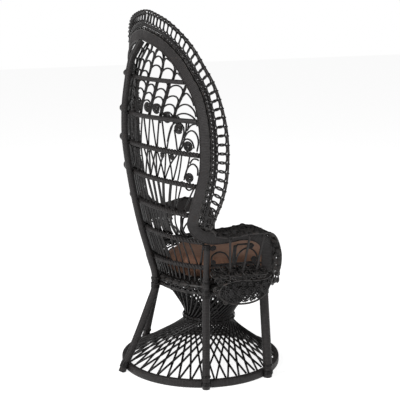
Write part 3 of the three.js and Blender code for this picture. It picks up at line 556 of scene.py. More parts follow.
def paper_material(name):
    """Matt white studio paper. Seen by the camera, in gloss or through glass it also gives light,
    so that it reads white, and it still takes the chair's shadow."""
    tree = new_tree(bpy.data.materials.new(name))
    ray = add_node(tree, "LightPath").outputs
    seen = maths(tree, "MAXIMUM", ray["Is Camera Ray"], ray["Is Glossy Ray"])
    seen = maths(tree, "MAXIMUM", seen, ray["Is Transmission Ray"])
    glow = add_node(tree, "Emission", {"Color": (1, 1, 1, 1), "Strength": maths(tree, "MULTIPLY", seen, 0.8)})
    grain = noise(tree, add_node(tree, "TexCoord").outputs["Object"], 900.0, 2.0)
    paper = add_node(tree, "BsdfDiffuse", {
        "Color": linear("#f2f2f2"), "Normal": bumps(tree, (grain, 0.05, 0.0005))})
    both = add_node(tree, "AddShader", {0: paper.outputs[0], 1: glow.outputs[0]})
    add_node(tree, "OutputMaterial", {"Surface": both.outputs[0]})


def make_mesh(name, shape, material):
    """Puts a shape, in mm from the floor ring's middle, into a mesh in the frame, in metres."""
    points, quads, quad_uv, tris, tri_uv = shape
    points = points / 1000 + [0, RING_Y, 0]
    mesh = bpy.data.meshes.new(name)
    mesh.vertices.add(len(points))
    mesh.vertices.foreach_set("co", points.ravel().astype(np.float32))
    mesh.loops.add(quads.size + tris.size)
    mesh.loops.foreach_set("vertex_index", np.concatenate([quads.ravel(), tris.ravel()]).astype(np.int32))
    mesh.polygons.add(len(quads) + len(tris))
    starts = np.concatenate([np.arange(len(quads)) * 4, quads.size + np.arange(len(tris)) * 3])
    mesh.polygons.foreach_set("loop_start", starts.astype(np.int32))
    mesh.polygons.foreach_set("use_smooth", np.ones(len(starts), bool))
    uv = np.concatenate([quad_uv.reshape(-1, 2), tri_uv.reshape(-1, 2)])
    mesh.uv_layers.new(name="along").data.foreach_set("uv", uv.ravel().astype(np.float32))
    mesh.update(calc_edges=True)
    mesh.materials.append(bpy.data.materials[material])
    obj = bpy.data.objects.new(name, mesh)
    bpy.context.scene.collection.objects.link(obj)
    return obj


SLOTS = {
    "Ebonised rattan peel, wound": "wrapped_cane",
    "Ebonised rattan pole, rubbed": "rattan_pole",
    "Ebonised split cane, lashed": "woven_cane",
}
WOUND, POLE, CANE = SLOTS
CLOTH, CORD, PAPER = "Brushed cotton, sewn", "Cotton piping cord, sewn", "White studio paper"


def put(name, shape, material, *nodes):
    """Makes a piece that rides on the chair's frame, and hides the solids it stands for."""
    obj = make_mesh(name, shape, material)
    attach(obj, "chair_frame")
    if nodes:
        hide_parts(*nodes)


def put_pair(name, shape, material, *nodes):
    """The left piece, and its mirror image on the right."""
    put(name + "_left", shape, material, *(n + "_left" for n in nodes))
    put(name + "_right", mirrored(shape), material, *(n + "_right" for n in nodes))


def colour_of(name, description, value):
    """A colour that can be picked in the panel."""
    return bpy.props.FloatVectorProperty(
        name=name, description=description, default=linear(value)[:3], subtype="COLOR", size=3, min=0, max=1)


def size_of(name, description, value, least, most):
    """A length in metres that can be set in the panel."""
    return bpy.props.FloatProperty(
        name=name, description=description, default=value, min=least, max=most, unit="LENGTH")


class ChairColours(bpy.types.PropertyGroup):
    """Colours of the finish, each sRGB in Blender's colour picker."""
    wound: colour_of("Wound cane", "Flat cane wound round the hoop, the poles and the rails", "#353232")
    pole: colour_of("Rattan pole", "Bare rods of the seat and of the border", "#383534")
    cane: colour_of("Split cane", "Thin canes of the lace, the back and the base", "#1b1818")
    cushion: colour_of("Cushion cloth", "Brushed cotton cover of the loose cushion", "#8f6a57")


class ChairSizes(bpy.types.PropertyGroup):
    """Sizes of the cane work, in metres."""
    winding: size_of("Winding pitch", "From one turn of the wound cane to the next", 0.006, 0.003, 0.02)
    lace: size_of(
        "Lace cane radius", "Half the thickness of the canes in the border's rings", 0.0034, 0.001, 0.006)
    ring_pitch: size_of("Border ring pitch", "From one ring of the border to the next", 0.034, 0.02, 0.06)
    strand: size_of(
        "Back cane radius", "Half the thickness of the thin canes in the back", 0.0035, 0.001, 0.006)
    base_canes: bpy.props.IntProperty(
        name="Base canes", description="Canes in each of the two crossing layers of the base",
        default=40, min=12, max=72)
    piping: size_of(
        "Piping radius", "Half the thickness of the cord sewn into the cushion's seam", 0.0032, 0.001, 0.008)


class PEACOCK_CHAIR_OT_finishes(bpy.types.Operator):
    """Makes the materials of the cane, the rods, the cloth and the studio paper"""
    bl_idname = "peacock_chair.finishes"
    bl_label = "Finishes"

    def execute(self, context):
        colours = context.scene.peacock_chair_colours
        sizes = context.scene.peacock_chair_sizes
        # Flat strips of rattan peel, stained black and wound edge to edge: low sheen, a fine step at every
        #         turn with painted shade in its groove, and brown peel showing where the stain has rubbed off
        cane_material(WOUND, as_hex(colours.wound), 0.5, sizes.winding, 7, 0.3, 0.06)
        # Bare rods rubbed with black stain: closer grain along the rod and a slightly wetter shine
        cane_material(POLE, as_hex(colours.pole), 0.42, 0.045, 8, 0.45, 0.12)
        # Thin split cane: the darkest, with the sharpest highlights along its rounded back
        cane_material(CANE, as_hex(colours.cane), 0.38, 0.02, 6, 0.25, 0.2)
        # Brushed cotton, sewn: matt with a soft sheen. The piping is of the same cloth, a little darker
        cloth_material(CLOTH, as_hex(colours.cushion))
        cloth_material(CORD, shade(as_hex(colours.cushion), -14))
        paper_material(PAPER)
        return {"FINISHED"}


class PEACOCK_CHAIR_OT_base(bpy.types.Operator):
    """Floor ring, two crossing layers of canes, the bindings at their neck and the ring above"""
    bl_idname = "peacock_chair.base"
    bl_label = "Hourglass base"

    def execute(self, context):
        count = context.scene.peacock_chair_sizes.base_canes
        around = np.linspace(0, TAU, 721)
        floor_ring = circle(RING_RADIUS, around, RING_MIDDLE)
        top_ring = circle(TOP_RING_RADIUS, around, TOP_RING_MIDDLE, SEAT_Y)
        for name, ring, wide, tall, sides, square, depth in (
                ("floor_ring", floor_ring, 24, 34, 14, 0.42, 0.7),
                ("base_top_ring", top_ring, 26, 10, 12, 0.4, 0.5)):
            line = even(ring, 3.6)[:-1]
            dip = depth * (np.arange(len(line)) % 2)
            section = slab_section(wide - dip * 2, tall - dip * 2, sides, square)
            put(name + "_wound", sweep(line, section[None], UP, True), WOUND, name)
        # Each cane runs from the floor ring through the neck to the top ring, as two straight runs
        # whose bend at the neck is rounded by the 0.02. It turns 58 degrees below and 44 above
        s = np.linspace(-1, 1, 15)[:, None]
        bend = (np.sqrt(s**2 + 0.02) - np.sqrt(0.02)) / (np.sqrt(1.02) - np.sqrt(0.02))
        base = TAU * np.arange(count)[:, None] / count
        for sign, inset, name in ((1, 0.0, "base_canes_outer"), (-1, 10.6, "base_canes_inner")):
            low = circle(323.3 - inset, base - sign * np.radians(58), 30.0)
            neck = circle(NECK_RADIUS - inset, base, NECK_HEIGHT, NECK_Y)
            top = circle(222 - inset, base + sign * np.radians(44), 388.0, SEAT_Y)
            line = neck + (top - low) / 2 * s + (top + low - 2 * neck) / 2 * bend
            put(name + "_rods", rod(line, 4.5), CANE, name)
        # Four canes lie round the neck, tied down at twenty places
        binding = []
        for rise in (-10.7, -5.3, 5.3, 10.7):
            line = even(circle(NECK_BINDING, around, NECK_HEIGHT + rise, NECK_Y), 7)[:-1]
            binding.append(rod(line, 2.7, 6, UP, True))
        tie = section_angles(20)
        for spot, out in zip(circle(NECK_BINDING, tie, NECK_HEIGHT, NECK_Y), circle(1, tie, 0)):
            binding.append(turns(spot, np.cross(UP, out), (4.6, 12.5), 7.5, 1.6, first=out))
        put("neck_binding_canes", together(binding), CANE, "neck_binding")
        return {"FINISHED"}


def plait(count, turned, place, cane, toward=None, closed=False):
    """Canes an even share of a turn apart. `turned` is how many turns a cane has made at each step
    along, and `place` gives its line from that as an angle."""
    return [rod(place(TAU * (turned + k / count)), cane, 6, toward, closed) for k in range(count)]


class PEACOCK_CHAIR_OT_seat(bpy.types.Operator):
    """Two stacked seat rings, their cross bars, the woven deck and the cane that ties them"""
    bl_idname = "peacock_chair.seat"
    bl_label = "Seat frame"

    def execute(self, context):
        for name, beyond, height, radius in (
                ("seat_ring_upper", 0, 397, 11), ("seat_ring_lower", 2.5, 372, 8.5)):
            line = even(seat_oval(beyond, np.linspace(0, 360, 361), height), 6)[:-1]
            put(name + "_rod", rod(line, radius, 10, UP, True), POLE, name)
        ties = []
        for degrees in np.arange(10, 360, 20):
            spot, run = seat_spot(1.2, degrees, 385.5)
            ties.append(turns(spot, run, (12.4, 24.6), 13, 1.6, first=(spot[0], spot[1] - SEAT_Y, 0)))
        put("seat_ring_ties", together(ties), CANE)
        # A flat braid of three canes covers the gap between the two rings, and a rope of two lies
        # on the upper one
        round_once = np.arange(540) / 540
        degrees = 360 * round_once
        braid = plait(3, 22 * round_once, lambda a: seat_oval(
            9.5 + 3 * np.sin(2 * a), degrees, 385 + 8.5 * np.sin(a)), 4.2, closed=True)
        rope = plait(2, 36 * round_once, lambda a: seat_oval(
            -7 + 3.4 * np.sin(a), degrees, 408.5 + 3.4 * np.cos(a)), 3.6, closed=True)
        put("seat_edge_braid", together(braid + rope), CANE)
        bar_height = 402.0
        for name in ("seat_cross_bar_front", "seat_cross_bar_rear"):
            low, high = box_mm(name)
            low[1:] = high[1:] = (low[1] + high[1]) / 2, bar_height
            line = low + (high - low) * np.linspace(0, 1, 60)[:, None]
            put(name + "_rod", rod(line, 6, 10), POLE, name)
        # Deck: a round basket weave. Radial stakes, with weavers that pass over and under them
        rings, spokes, stakes = 34, 96, 48
        a = TAU * np.arange(spokes) / spokes
        ring = np.arange(rings)[:, None]
        lift = 1.1 * np.cos(a * spokes / 2 + np.pi * ring)
        across, along = ((half - 14) * (ring + 0.5) / rings for half in SEAT_HALF)
        weavers = oval(across, along, SEAT_Y, a, 411.2 + lift)
        across, along = ((half - 10) * np.linspace(0.02, 1, 12) for half in SEAT_HALF)
        spread = oval(across, along, SEAT_Y, section_angles(stakes)[:, None], 410.9)
        deck = together([rod(weavers, 3.2, 6, UP, True, 0.5), rod(spread, 2.6, 6, UP, flat=0.6)])
        put("seat_deck_weave", deck, CANE, "seat_deck")
        return {"FINISHED"}


class PEACOCK_CHAIR_OT_poles(bpy.types.Operator):
    """Rear pole, side poles and front legs, wound with cane and lashed at the feet and the seat"""
    bl_idname = "peacock_chair.poles"
    bl_label = "Poles and legs"

    def execute(self, context):
        pitch = context.scene.peacock_chair_sizes.winding * 1000
        spine, post, leg = pole_line(SPINE), pole_line(POST), pole_line(FRONT_LEG)
        shape = wound(spine, pole_radius(SPINE_KNEE, 16.3, 14.8), pitch)
        put("spine_pole_wound", cut_at_floor(shape), WOUND, "spine_pole")
        lashes = [lashing(spine, height, 17.6, width, 2.0)
                  for height, width in ((30, 30), (362, 20), (392, 24))]
        lashes += [lashing(spine, height, (16.0, 24.0), 9, 1.6, 10) for height in RAIL_HEIGHTS]
        # Two loops of the seat's lashing, one over the other, stand out from the pole
        lashes += [lashing(spine, height, (19.5, 25.0), 10, 2.6, 6) for height in (372, 397)]
        put("spine_pole_lashings", together(lashes), CANE)
        shape = wound(post, pole_radius(POST_KNEE, 16.3, 13.4), pitch)
        put_pair("rear_post_wound", cut_at_floor(shape), WOUND, "rear_post")
        put_pair("front_leg_wound", cut_at_floor(wound(leg, 19.2, pitch)), WOUND, "front_leg")
        ties = [lashing(pole, height, radius, width, 2.0) for pole, height, radius, width in (
            (post, 22, 17.4, 20), (post, 52, 17.4, 12), (post, 362, 17.4, 16), (post, 392, 17.4, 22),
            (post, 425, 17.4, 12), (post, 572, 14.9, 18),
            (leg, 22, 20.3, 20), (leg, 52, 20.3, 12), (leg, 364, 20.3, 16), (leg, 394, 20.3, 22))]
        put_pair("leg_lashings", together(ties), CANE)
        return {"FINISHED"}


class PEACOCK_CHAIR_OT_hoop(bpy.types.Operator):
    """The flat wound band round the back that runs on as the arms"""
    bl_idname = "peacock_chair.hoop"
    bl_label = "Hoop and arms"

    def execute(self, context):
        pitch = context.scene.peacock_chair_sizes.winding * 1000
        dense = np.linspace(0, 1, 4000)
        far = distance_along(spline(HOOP_EDGE, dense))
        rows = 2 * int(round(far[-1] / pitch))
        edge, run, flat, wide = hoop(np.interp(np.linspace(0, far[-1], rows + 1), far, dense))
        dip = 0.5 * (np.arange(rows + 1) % 2)
        face = np.cross(run, flat)
        section = slab_section(wide - dip * 1.2, BAND_THICKNESS - dip * 2, 18, 0.34)
        # The sweep's first side is square to `face`, so it comes out along the band's flat side
        band = sweep(edge + flat * (wide / 2)[:, None], section[None], face[None])
        put_pair("hoop_band_wound", band, WOUND, "hoop_band")
        edges = []
        for across, size in ((0.055, 2.0), (0.945, 2.2)):
            for side in (-1, 1):
                line = edge + flat * (wide * across)[:, None] + face * side * (BAND_THICKNESS / 2 - 0.4)
                edges.append(rod(line[::3], size, 6, face[None, ::3]))
        put_pair("hoop_edge_rods", together(edges), POLE)
        return {"FINISHED"}


class PEACOCK_CHAIR_OT_border(bpy.types.Operator):
    """The open lace outside the hoop: two rods, a twisted row, a chain of rings and the arm's braid"""
    bl_idname = "peacock_chair.border"
    bl_label = "Lace border"

    def execute(self, context):
        sizes = context.scene.peacock_chair_sizes
        cane, pitch = sizes.lace * 1000, sizes.ring_pitch * 1000
        t = np.linspace(0, 1, 520)
        _, face, wide = flare(t)
        put_pair("border_inner_rod_bare", rod(border(t, 0), 3.6, 8, face[None]), POLE, "border_inner_rod")
        # The outer rod is half a millimetre thicker at its joints
        radius = 4.1 + 0.5 * np.exp(-((t[:, None] - BORDER_JOINTS) / 0.002)**2).sum(1)
        outer = rod(border(t, wide), radius, 8, face[None])
        put_pair("border_outer_rod_bare", outer, POLE, "border_outer_rod")
        far, at = border_scale(38, 0, 14 / SPANS)
        # How far the middle of the plaited row, and the near side of the rings, lie from the first rod
        row, rings_from = 11.8, 20
        # Plaited row: three canes, a third of a turn apart, that leave small eyes where they cross
        s = np.arange(0, far[-1], 3)
        t = np.interp(s, far, at)
        face = flare(t)[1][None]
        twist = plait(3, s / (1.5 * pitch), lambda a: border(
            t, row + 3.0 * np.sin(a), 3.4 * np.sin(2 * a)), cane, face)
        twist.append(rod(border(t, rings_from - 1.5), cane * 0.8, 5, face))
        twist.append(rod(border(t, row, -3.0), cane * 1.1, 5, face))
        # Rings: each is a little longer than its pitch, so that neighbours pass through each other.
        # The pitch grows from the apex to where the border is widest
        s = np.linspace(0, far[-1] - pitch * 0.8, 2000)
        local = pitch * (0.78 + 0.22 * np.minimum(s / BORDER_GROWS, 1))
        passed = np.concatenate([[0], np.cumsum(np.diff(s) / local[1:])])
        spots = np.interp(np.arange(0.5, passed[-1]), passed, s)
        overlap = cane * (1.3 - 0.4 * np.minimum(spots / BORDER_GROWS, 1))
        half = (np.interp(spots, s, local) / 2 + overlap)[:, None]
        room = flare(np.interp(spots, far, at))[2] - rings_from - 4.3 - 2 * cane
        tall = np.maximum(room / 2, 9.0)[:, None]
        a = TAU * np.arange(24) / 24
        ring_s = spots[:, None] + half * kept_sign(np.cos(a), 0.8)
        away = rings_from + cane + tall + tall * kept_sign(np.sin(a), 0.8)
        rings = border(np.interp(np.abs(ring_s), far, at), away, 2.8 * np.cos(a))
        rings[..., 0] = np.where(ring_s < 0, -rings[..., 0], rings[..., 0])
        put_pair("border_lace_rings", rod(rings, cane, closed=True), CANE, "border_lace_front")
        for t in np.interp((spots[:-1] + spots[1:]) / 2, far, at):
            run = hoop(t)[1]
            out, _, wide = flare(t)
            twist.append(turns(border(t, wide - 1.5), run, (6.0, 7.0), 7, 1.5, 9, out))
            twist.append(turns(border(t, 1.0), run, (5.2, 5.2), 6, 1.4, 9, out))
        t = np.linspace(0, 2.6 / SPANS, 120)
        twist.append(rod(border(t, flare(t)[2] - 10.5), 2.8))
        put_pair("border_twist", together(twist), CANE, "border_lace_back")
        # Braid along the arm: four strands of three canes that cross the border's width and pass
        # over and under each other
        far, at = border_scale(20, 13.2 / SPANS, 22.6 / SPANS)
        s = np.arange(0, far[-1], 3.0)
        t = np.interp(s, far, at)
        _, face, wide = flare(t)
        room = np.maximum(wide / 2 - 2.5, 6)
        braid = []
        for k in range(4):
            angle = TAU * (s / 128 + k / 4)
            lift = 4.2 * np.sin(2 * angle + TAU * k / 4) + 1.5
            for side in (-4.8, 0, 4.8):
                away = wide / 2 - 3 + room * np.sin(angle) + side
                braid.append(rod(border(t, away, lift), 3.0, 6, face[None]))
        put_pair("arm_braid", together(braid), POLE)
        return {"FINISHED"}


class PEACOCK_CHAIR_OT_rails(bpy.types.Operator):
    """Seven cross rails: the upper two wound, the others twisted like rope"""
    bl_idname = "peacock_chair.rails"
    bl_label = "Back rails"

    def execute(self, context):
        pitch = context.scene.peacock_chair_sizes.winding * 1000
        for number in range(1, 8):
            reach = np.abs(field_side(rail_height(number, 1.0))[0])
            share = np.linspace(-1, 1, 161) * (1 - 2 / reach)
            line = field(share, rail_height(number, share))
            if number < 3:
                shape = wound(line, (9.2, 9.8)[number - 1], pitch, 0.45, 10, UP)
            else:
                # Three strands, a third of a turn apart, twisted about the rail
                core = even(line, 3.0)
                run = unit(np.gradient(core, axis=0))
                side = unit(np.cross(UP, run))
                top = np.cross(run, side)
                a = TAU * (distance_along(core) / 42 + np.arange(3)[:, None] / 3)[..., None]
                shape = rod(core + 5.8 * (np.cos(a) * side + np.sin(a) * top), 5.3, 8)
            put("back_rail_%d_wound" % number, shape, WOUND, "back_rail_%d" % number)
        return {"FINISHED"}


# Coils of the back, as (share of the half width, height, reach)
COILS = np.array([
    [0, 1136, 21], [0.27, 1139, 22], [0.44, 1139, 22.5], [0.58, 1137, 22.5],
    [0.712, 1107, 23.5], [0.81, 1101, 21], [0.825, 1068, 22.5], [0.902, 1003, 23], [0.92, 878, 22],
    [0.628, 955, 14], [0.74, 953, 14],
])
# Upright canes of the back's right half, as (share of the half width, height) from the foot up
CROWN_TRUNKS = [
    [[0.05, 1246], [0.08, 1300], [0.14, 1382]],
    [[0.18, 1246], [0.31, 1298], [0.4, 1344], [0.56, 1377]],
    [[0.43, 1246], [0.547, 1314], [0.7, 1357], [0.96, 1370]],
    [[0.645, 1246], [0.775, 1307], [0.896, 1344], [0.985, 1356]],
    [[0.84, 1246], [0.951, 1296], [0.985, 1315]],
]
TRUNKS = [
    [[0.11, 1106], [0.14, 1180], [0.155, 1250]],
    [[0.315, 1106], [0.345, 1155], [0.392, 1200], [0.458, 1250]],
    [[0.47, 1106], [0.522, 1165], [0.575, 1210], [0.632, 1250]],
    [[0.63, 1106], [0.68, 1160], [0.735, 1200], [0.81, 1250]],
    [[0.78, 1106], [0.835, 1156], [0.918, 1204], [0.985, 1236]],
]
# Tops of the arches between each upright cane and the next, the middle pair first
CROWN_TOPS = [
    [1281, 1320, 1354], [1279, 1320, 1361], [1278, 1318, 1353], [1304, 1338, 1362], [1296, 1332], [1280],
]
TOPS = [
    [1240, 1207, 1172], [1240, 1208, 1169], [1229, 1196, 1166], [1250, 1216, 1184, 1155],
    [1233, 1192, 1159, 1128], [1205, 1163, 1128],
]
# Canes between the rails by their (share, height) knots, from rail 3 down to rail 7
SLANTS = [
    [[0.04, 1100], [0.085, 988]], [[0.14, 1100], [0.1, 988]], [[0.18, 1100], [0.25, 988]],
    [[0.248, 1100], [0.292, 988]], [[0.355, 1100], [0.308, 988]],
    [[0.385, 1100], [0.434, 988]], [[0.487, 1100], [0.448, 988]],
    [[0.522, 1100], [0.56, 986]], [[0.618, 1100], [0.574, 986]],
    [[0.652, 1100], [0.68, 984]], [[0.775, 1085], [0.73, 1040], [0.694, 984]],
    [[0.705, 1013], [0.745, 1065], [0.782, 1086], [0.822, 1092], [0.858, 1086], [0.876, 1064], [0.85, 1020],
     [0.818, 984]],
    [[0.785, 1062], [0.795, 1025], [0.803, 984]], [[0.905, 1104], [0.89, 1060], [0.858, 1006], [0.83, 984]],
    [[0.898, 1062], [0.935, 1083], [0.97, 1090], [0.985, 1088]],
    [[0.876, 1036], [0.908, 1057], [0.945, 1064], [0.975, 1050], [0.985, 1020], [0.972, 985]],
    [[0.85, 996], [0.868, 1022], [0.9, 1031], [0.936, 1022], [0.952, 996]],
    [[0.925, 1102], [0.91, 1070]],
]
CROSS_LEFT = [
    [[0.02, 968], [0.05, 920], [0.085, 864]], [[0.16, 968], [0.2, 920], [0.245, 864]],
    [[0.35, 968], [0.383, 924], [0.41, 862]], [[0.462, 968], [0.493, 921], [0.523, 862]],
    [[0.562, 968], [0.6, 920], [0.636, 862]], [[0.7, 968], [0.718, 920], [0.74, 862]],
    [[0.84, 968], [0.804, 862]], [[0.912, 964], [0.868, 866]],
]
CROSS_RIGHT = [
    [[0.09, 968], [0.05, 920], [0.015, 864]], [[0.245, 968], [0.2, 920], [0.155, 864]],
    [[0.425, 968], [0.383, 924], [0.33, 862]], [[0.545, 968], [0.493, 921], [0.43, 862]],
    [[0.66, 968], [0.6, 920], [0.542, 862]], [[0.802, 968], [0.718, 920], [0.655, 862]],
    [[0.82, 968], [0.758, 862]],
    [[0.122, 968], [0.12, 864]], [[0.3, 968], [0.29, 864]], [[0.448, 966], [0.424, 864]],
    [[0.553, 966], [0.527, 864]], [[0.677, 966], [0.642, 864]],
    [[0.915, 936], [0.94, 953], [0.968, 955], [0.985, 950]],
    [[0.873, 876], [0.896, 916], [0.94, 935], [0.978, 919], [0.985, 890]],
]
STAKES = [
    [[0.04, 860], [0.05, 736], [0.055, 620]], [[0.15, 860], [0.175, 736], [0.2, 620]],
    [[0.255, 860], [0.315, 736], [0.35, 620]], [[0.353, 860], [0.447, 736], [0.48, 620]],
    [[0.458, 860], [0.521, 736], [0.56, 620]], [[0.54, 860], [0.608, 736], [0.64, 620]],
    [[0.626, 860], [0.643, 736], [0.69, 620]], [[0.73, 860], [0.728, 736], [0.77, 620]],
]
LONE_STAKES = [
    [[0.8, 860], [0.812, 736], [0.84, 620]], [[0.856, 860], [0.83, 736]],
    [[0.985, 850], [0.95, 770], [0.93, 736]],
    [[0.885, 852], [0.905, 834], [0.935, 826], [0.965, 834], [0.98, 850]],
    [[0.1, 736], [0.12, 620]], [[0.38, 736], [0.42, 620]],
    [[0.56, 736], [0.6, 620]], [[0.9, 736], [0.91, 620]],
    [[0.7, 690], [0.74, 706], [0.78, 690]], [[0.985, 617], [0.955, 495]],
]
LEANING = np.array([
    [[0.35, 617], [0.467, 490]], [[0.54, 613], [0.573, 489]], [[0.634, 610], [0.679, 488]],
    [[0.707, 608], [0.79, 487]], [[0.787, 604], [0.901, 487]], [[0.985, 600], [0.923, 487]],
])
FRONT = 10.6  # how far the thin canes lie in front of the rails
INSIDE = 0.985  # the share just inside the hoop's edge


def field_rods(points, radius, forward=FRONT):
    """Rods along lines of (share, height) on the field and, where they aren't on the middle, along
    their mirror image as well."""
    off_middle = np.abs(points[..., 0]).max(axis=-1) > 1e-6
    points = np.concatenate([points, (points * [-1, 1])[off_middle]])
    return rod(field(points[..., 0], points[..., 1], forward), radius)


def inside(points):
    """The lines with their share held just inside the hoop's edge."""
    return np.stack([np.clip(points[..., 0], -INSIDE, INSIDE), points[..., 1]], -1)


def straight(top, foot):
    """Straight lines on the field, from each of the (shares, heights) at the top to its foot."""
    top, foot = (np.stack(np.broadcast_arrays(*end), -1)[:, None] for end in (top, foot))
    return top + (foot - top) * np.linspace(0, 1, 9)[:, None]


def bunched(share):
    """The tables' shares, drawn in toward the spine by the smaller of 0.278 times the share and
    0.105 times what is left to the hoop, to the power 0.65."""
    size = np.abs(share)
    left = np.maximum(1 - size, 0)
    return np.sign(share) * (size - np.minimum(0.278 * size, 0.105 * left**0.65))


def bundle(lines, canes, step, radius, forward=FRONT):
    """Several canes side by side along each line, `step` mm apart."""
    reach = np.maximum(np.abs(field_side(lines[..., 1])[0]), 20)
    shapes = []
    for k in range(canes):
        moved = lines.copy()
        moved[..., 0] += (k - (canes - 1) / 2) * step / reach
        shapes.append(field_rods(inside(moved), radius, forward + 0.6 * (k % 2)))
    return together(shapes)


def drawn(lines, radius, forward=FRONT, canes=1, step=4.6):
    """Each cane follows the cubic through its knots. Where there are several, they lie side by side."""
    paths = np.stack([spline(line, np.linspace(0, 1, 13)) for line in lines])
    paths[..., 0] = bunched(paths[..., 0])
    return bundle(paths, canes, step, radius, forward)


def fish_scales(trunks, tops, drop, radius):
    """Arches between neighbouring upright canes. An arch's place between the two is half of one
    less the cosine, and its height falls from its top by `drop` times one less a power of the sine,
    so that both its legs run down beside the upright canes."""
    s = np.pi * np.linspace(0, 1, 17)
    lines = [[[-x, z] for x, z in trunks[0]]] + trunks + [[[INSIDE, 0], [INSIDE, 1500]]]
    lines = [spline(line, np.linspace(0, 1, 60)) for line in lines]
    paths = []
    for left, right, heights in zip(lines[:-1], lines[1:], tops):
        for top in heights:
            z = top - drop * (1 - np.abs(np.sin(s))**0.72)
            near, far = (np.interp(z, line[:, 1], line[:, 0]) for line in (left, right))
            paths.append(np.stack([bunched(near + (far - near) * (1 - np.cos(s)) / 2), z], -1))
    return bundle(np.stack(paths), 1, 0, radius)


class PEACOCK_CHAIR_OT_field(bpy.types.Operator):
    """The thin canes of the back: fish scales and coils, slants, crossings and upright stakes"""
    bl_idname = "peacock_chair.field"
    bl_label = "Woven back"

    def execute(self, context):
        cane = context.scene.peacock_chair_sizes.strand * 1000
        crown = [fish_scales(CROWN_TRUNKS, CROWN_TOPS, 40, cane), drawn(CROWN_TRUNKS, cane, FRONT + 2, 2)]
        put("back_crown_canes", together(crown), CANE, "back_crown_lattice")
        scales = [fish_scales(TRUNKS, TOPS, 46, cane), drawn(TRUNKS[:4], cane, FRONT + 2, 3),
                  drawn(TRUNKS[4:], cane, FRONT + 2, 2)]
        for share, height, reach in COILS:
            for sign in ((1, -1) if share else (1,)):
                place = sign * bunched(share)
                centre = field(place, height, FRONT + 1)
                across = unit(field(place + 0.01, height, FRONT + 1) - centre)
                scales.append(coil(centre, across * sign, UP, reach, 3.0, reach / 5.8))
        put("back_scale_canes", together(scales), CANE, "back_scale_lattice")
        for name, lines, forward in (("back_slant_canes", SLANTS, FRONT),
                                     ("back_cross_canes_front", CROSS_LEFT, FRONT + 3),
                                     ("back_cross_canes_rear", CROSS_RIGHT, FRONT)):
            put(name + "_single", drawn(lines, cane, forward), CANE, name)
        stakes = together([drawn(STAKES, cane, FRONT, 2, 5.6), drawn(LONE_STAKES, cane)])
        put("back_stakes_middle_canes", stakes, CANE, "back_stakes_middle")
        # Lower stakes lean outward as they go down, then stand upright behind the seat
        feet = np.arange(0.045, 0.98, 0.089)
        doubled = feet[:5]
        heads = doubled - 0.06
        lean = straight((heads, rail_height(6, heads)), (doubled, rail_height(7, doubled)))
        outer = straight(LEANING[:, 0].T, LEANING[:, 1].T)
        stand = straight((feet, rail_height(7, feet)), (feet, 418.0))
        lower = together([bundle(lean, 2, 6.0, cane), field_rods(outer, cane - 0.4),
                          field_rods(inside(stand), cane + 0.8)])
        put("back_stakes_lower_canes", lower, CANE, "back_stakes_lower")
        return {"FINISHED"}


LEDGE_FALL = np.array([-1.0, 0, -0.62])  # how the ledge slopes down and out from the arm's rail
LEDGE_WIDTH, LEDGE_END = 52, 0.955
LEDGE_DROP = -9.0  # the ledge's top, from the rail's middle


def arm_rail(part, above=0.0):
    """A place on the rail from the side pole to the arm's foot, bowed out by a cane's width half
    way, or in the arched panel `above` it."""
    start = at_height(POST_LINE, ARM_RAIL_HEIGHT)[0] - [0, 16.8, 0]
    edge, _, flat, _ = hoop(ARM_FOOT)
    part = np.asarray(part, float)[..., None]
    point = start + (edge - flat * 1.54 - start) * part
    point[..., 2] = ARM_RAIL_HEIGHT + above
    point[..., :1] -= 3.1 * np.sin(np.pi * part)
    return point


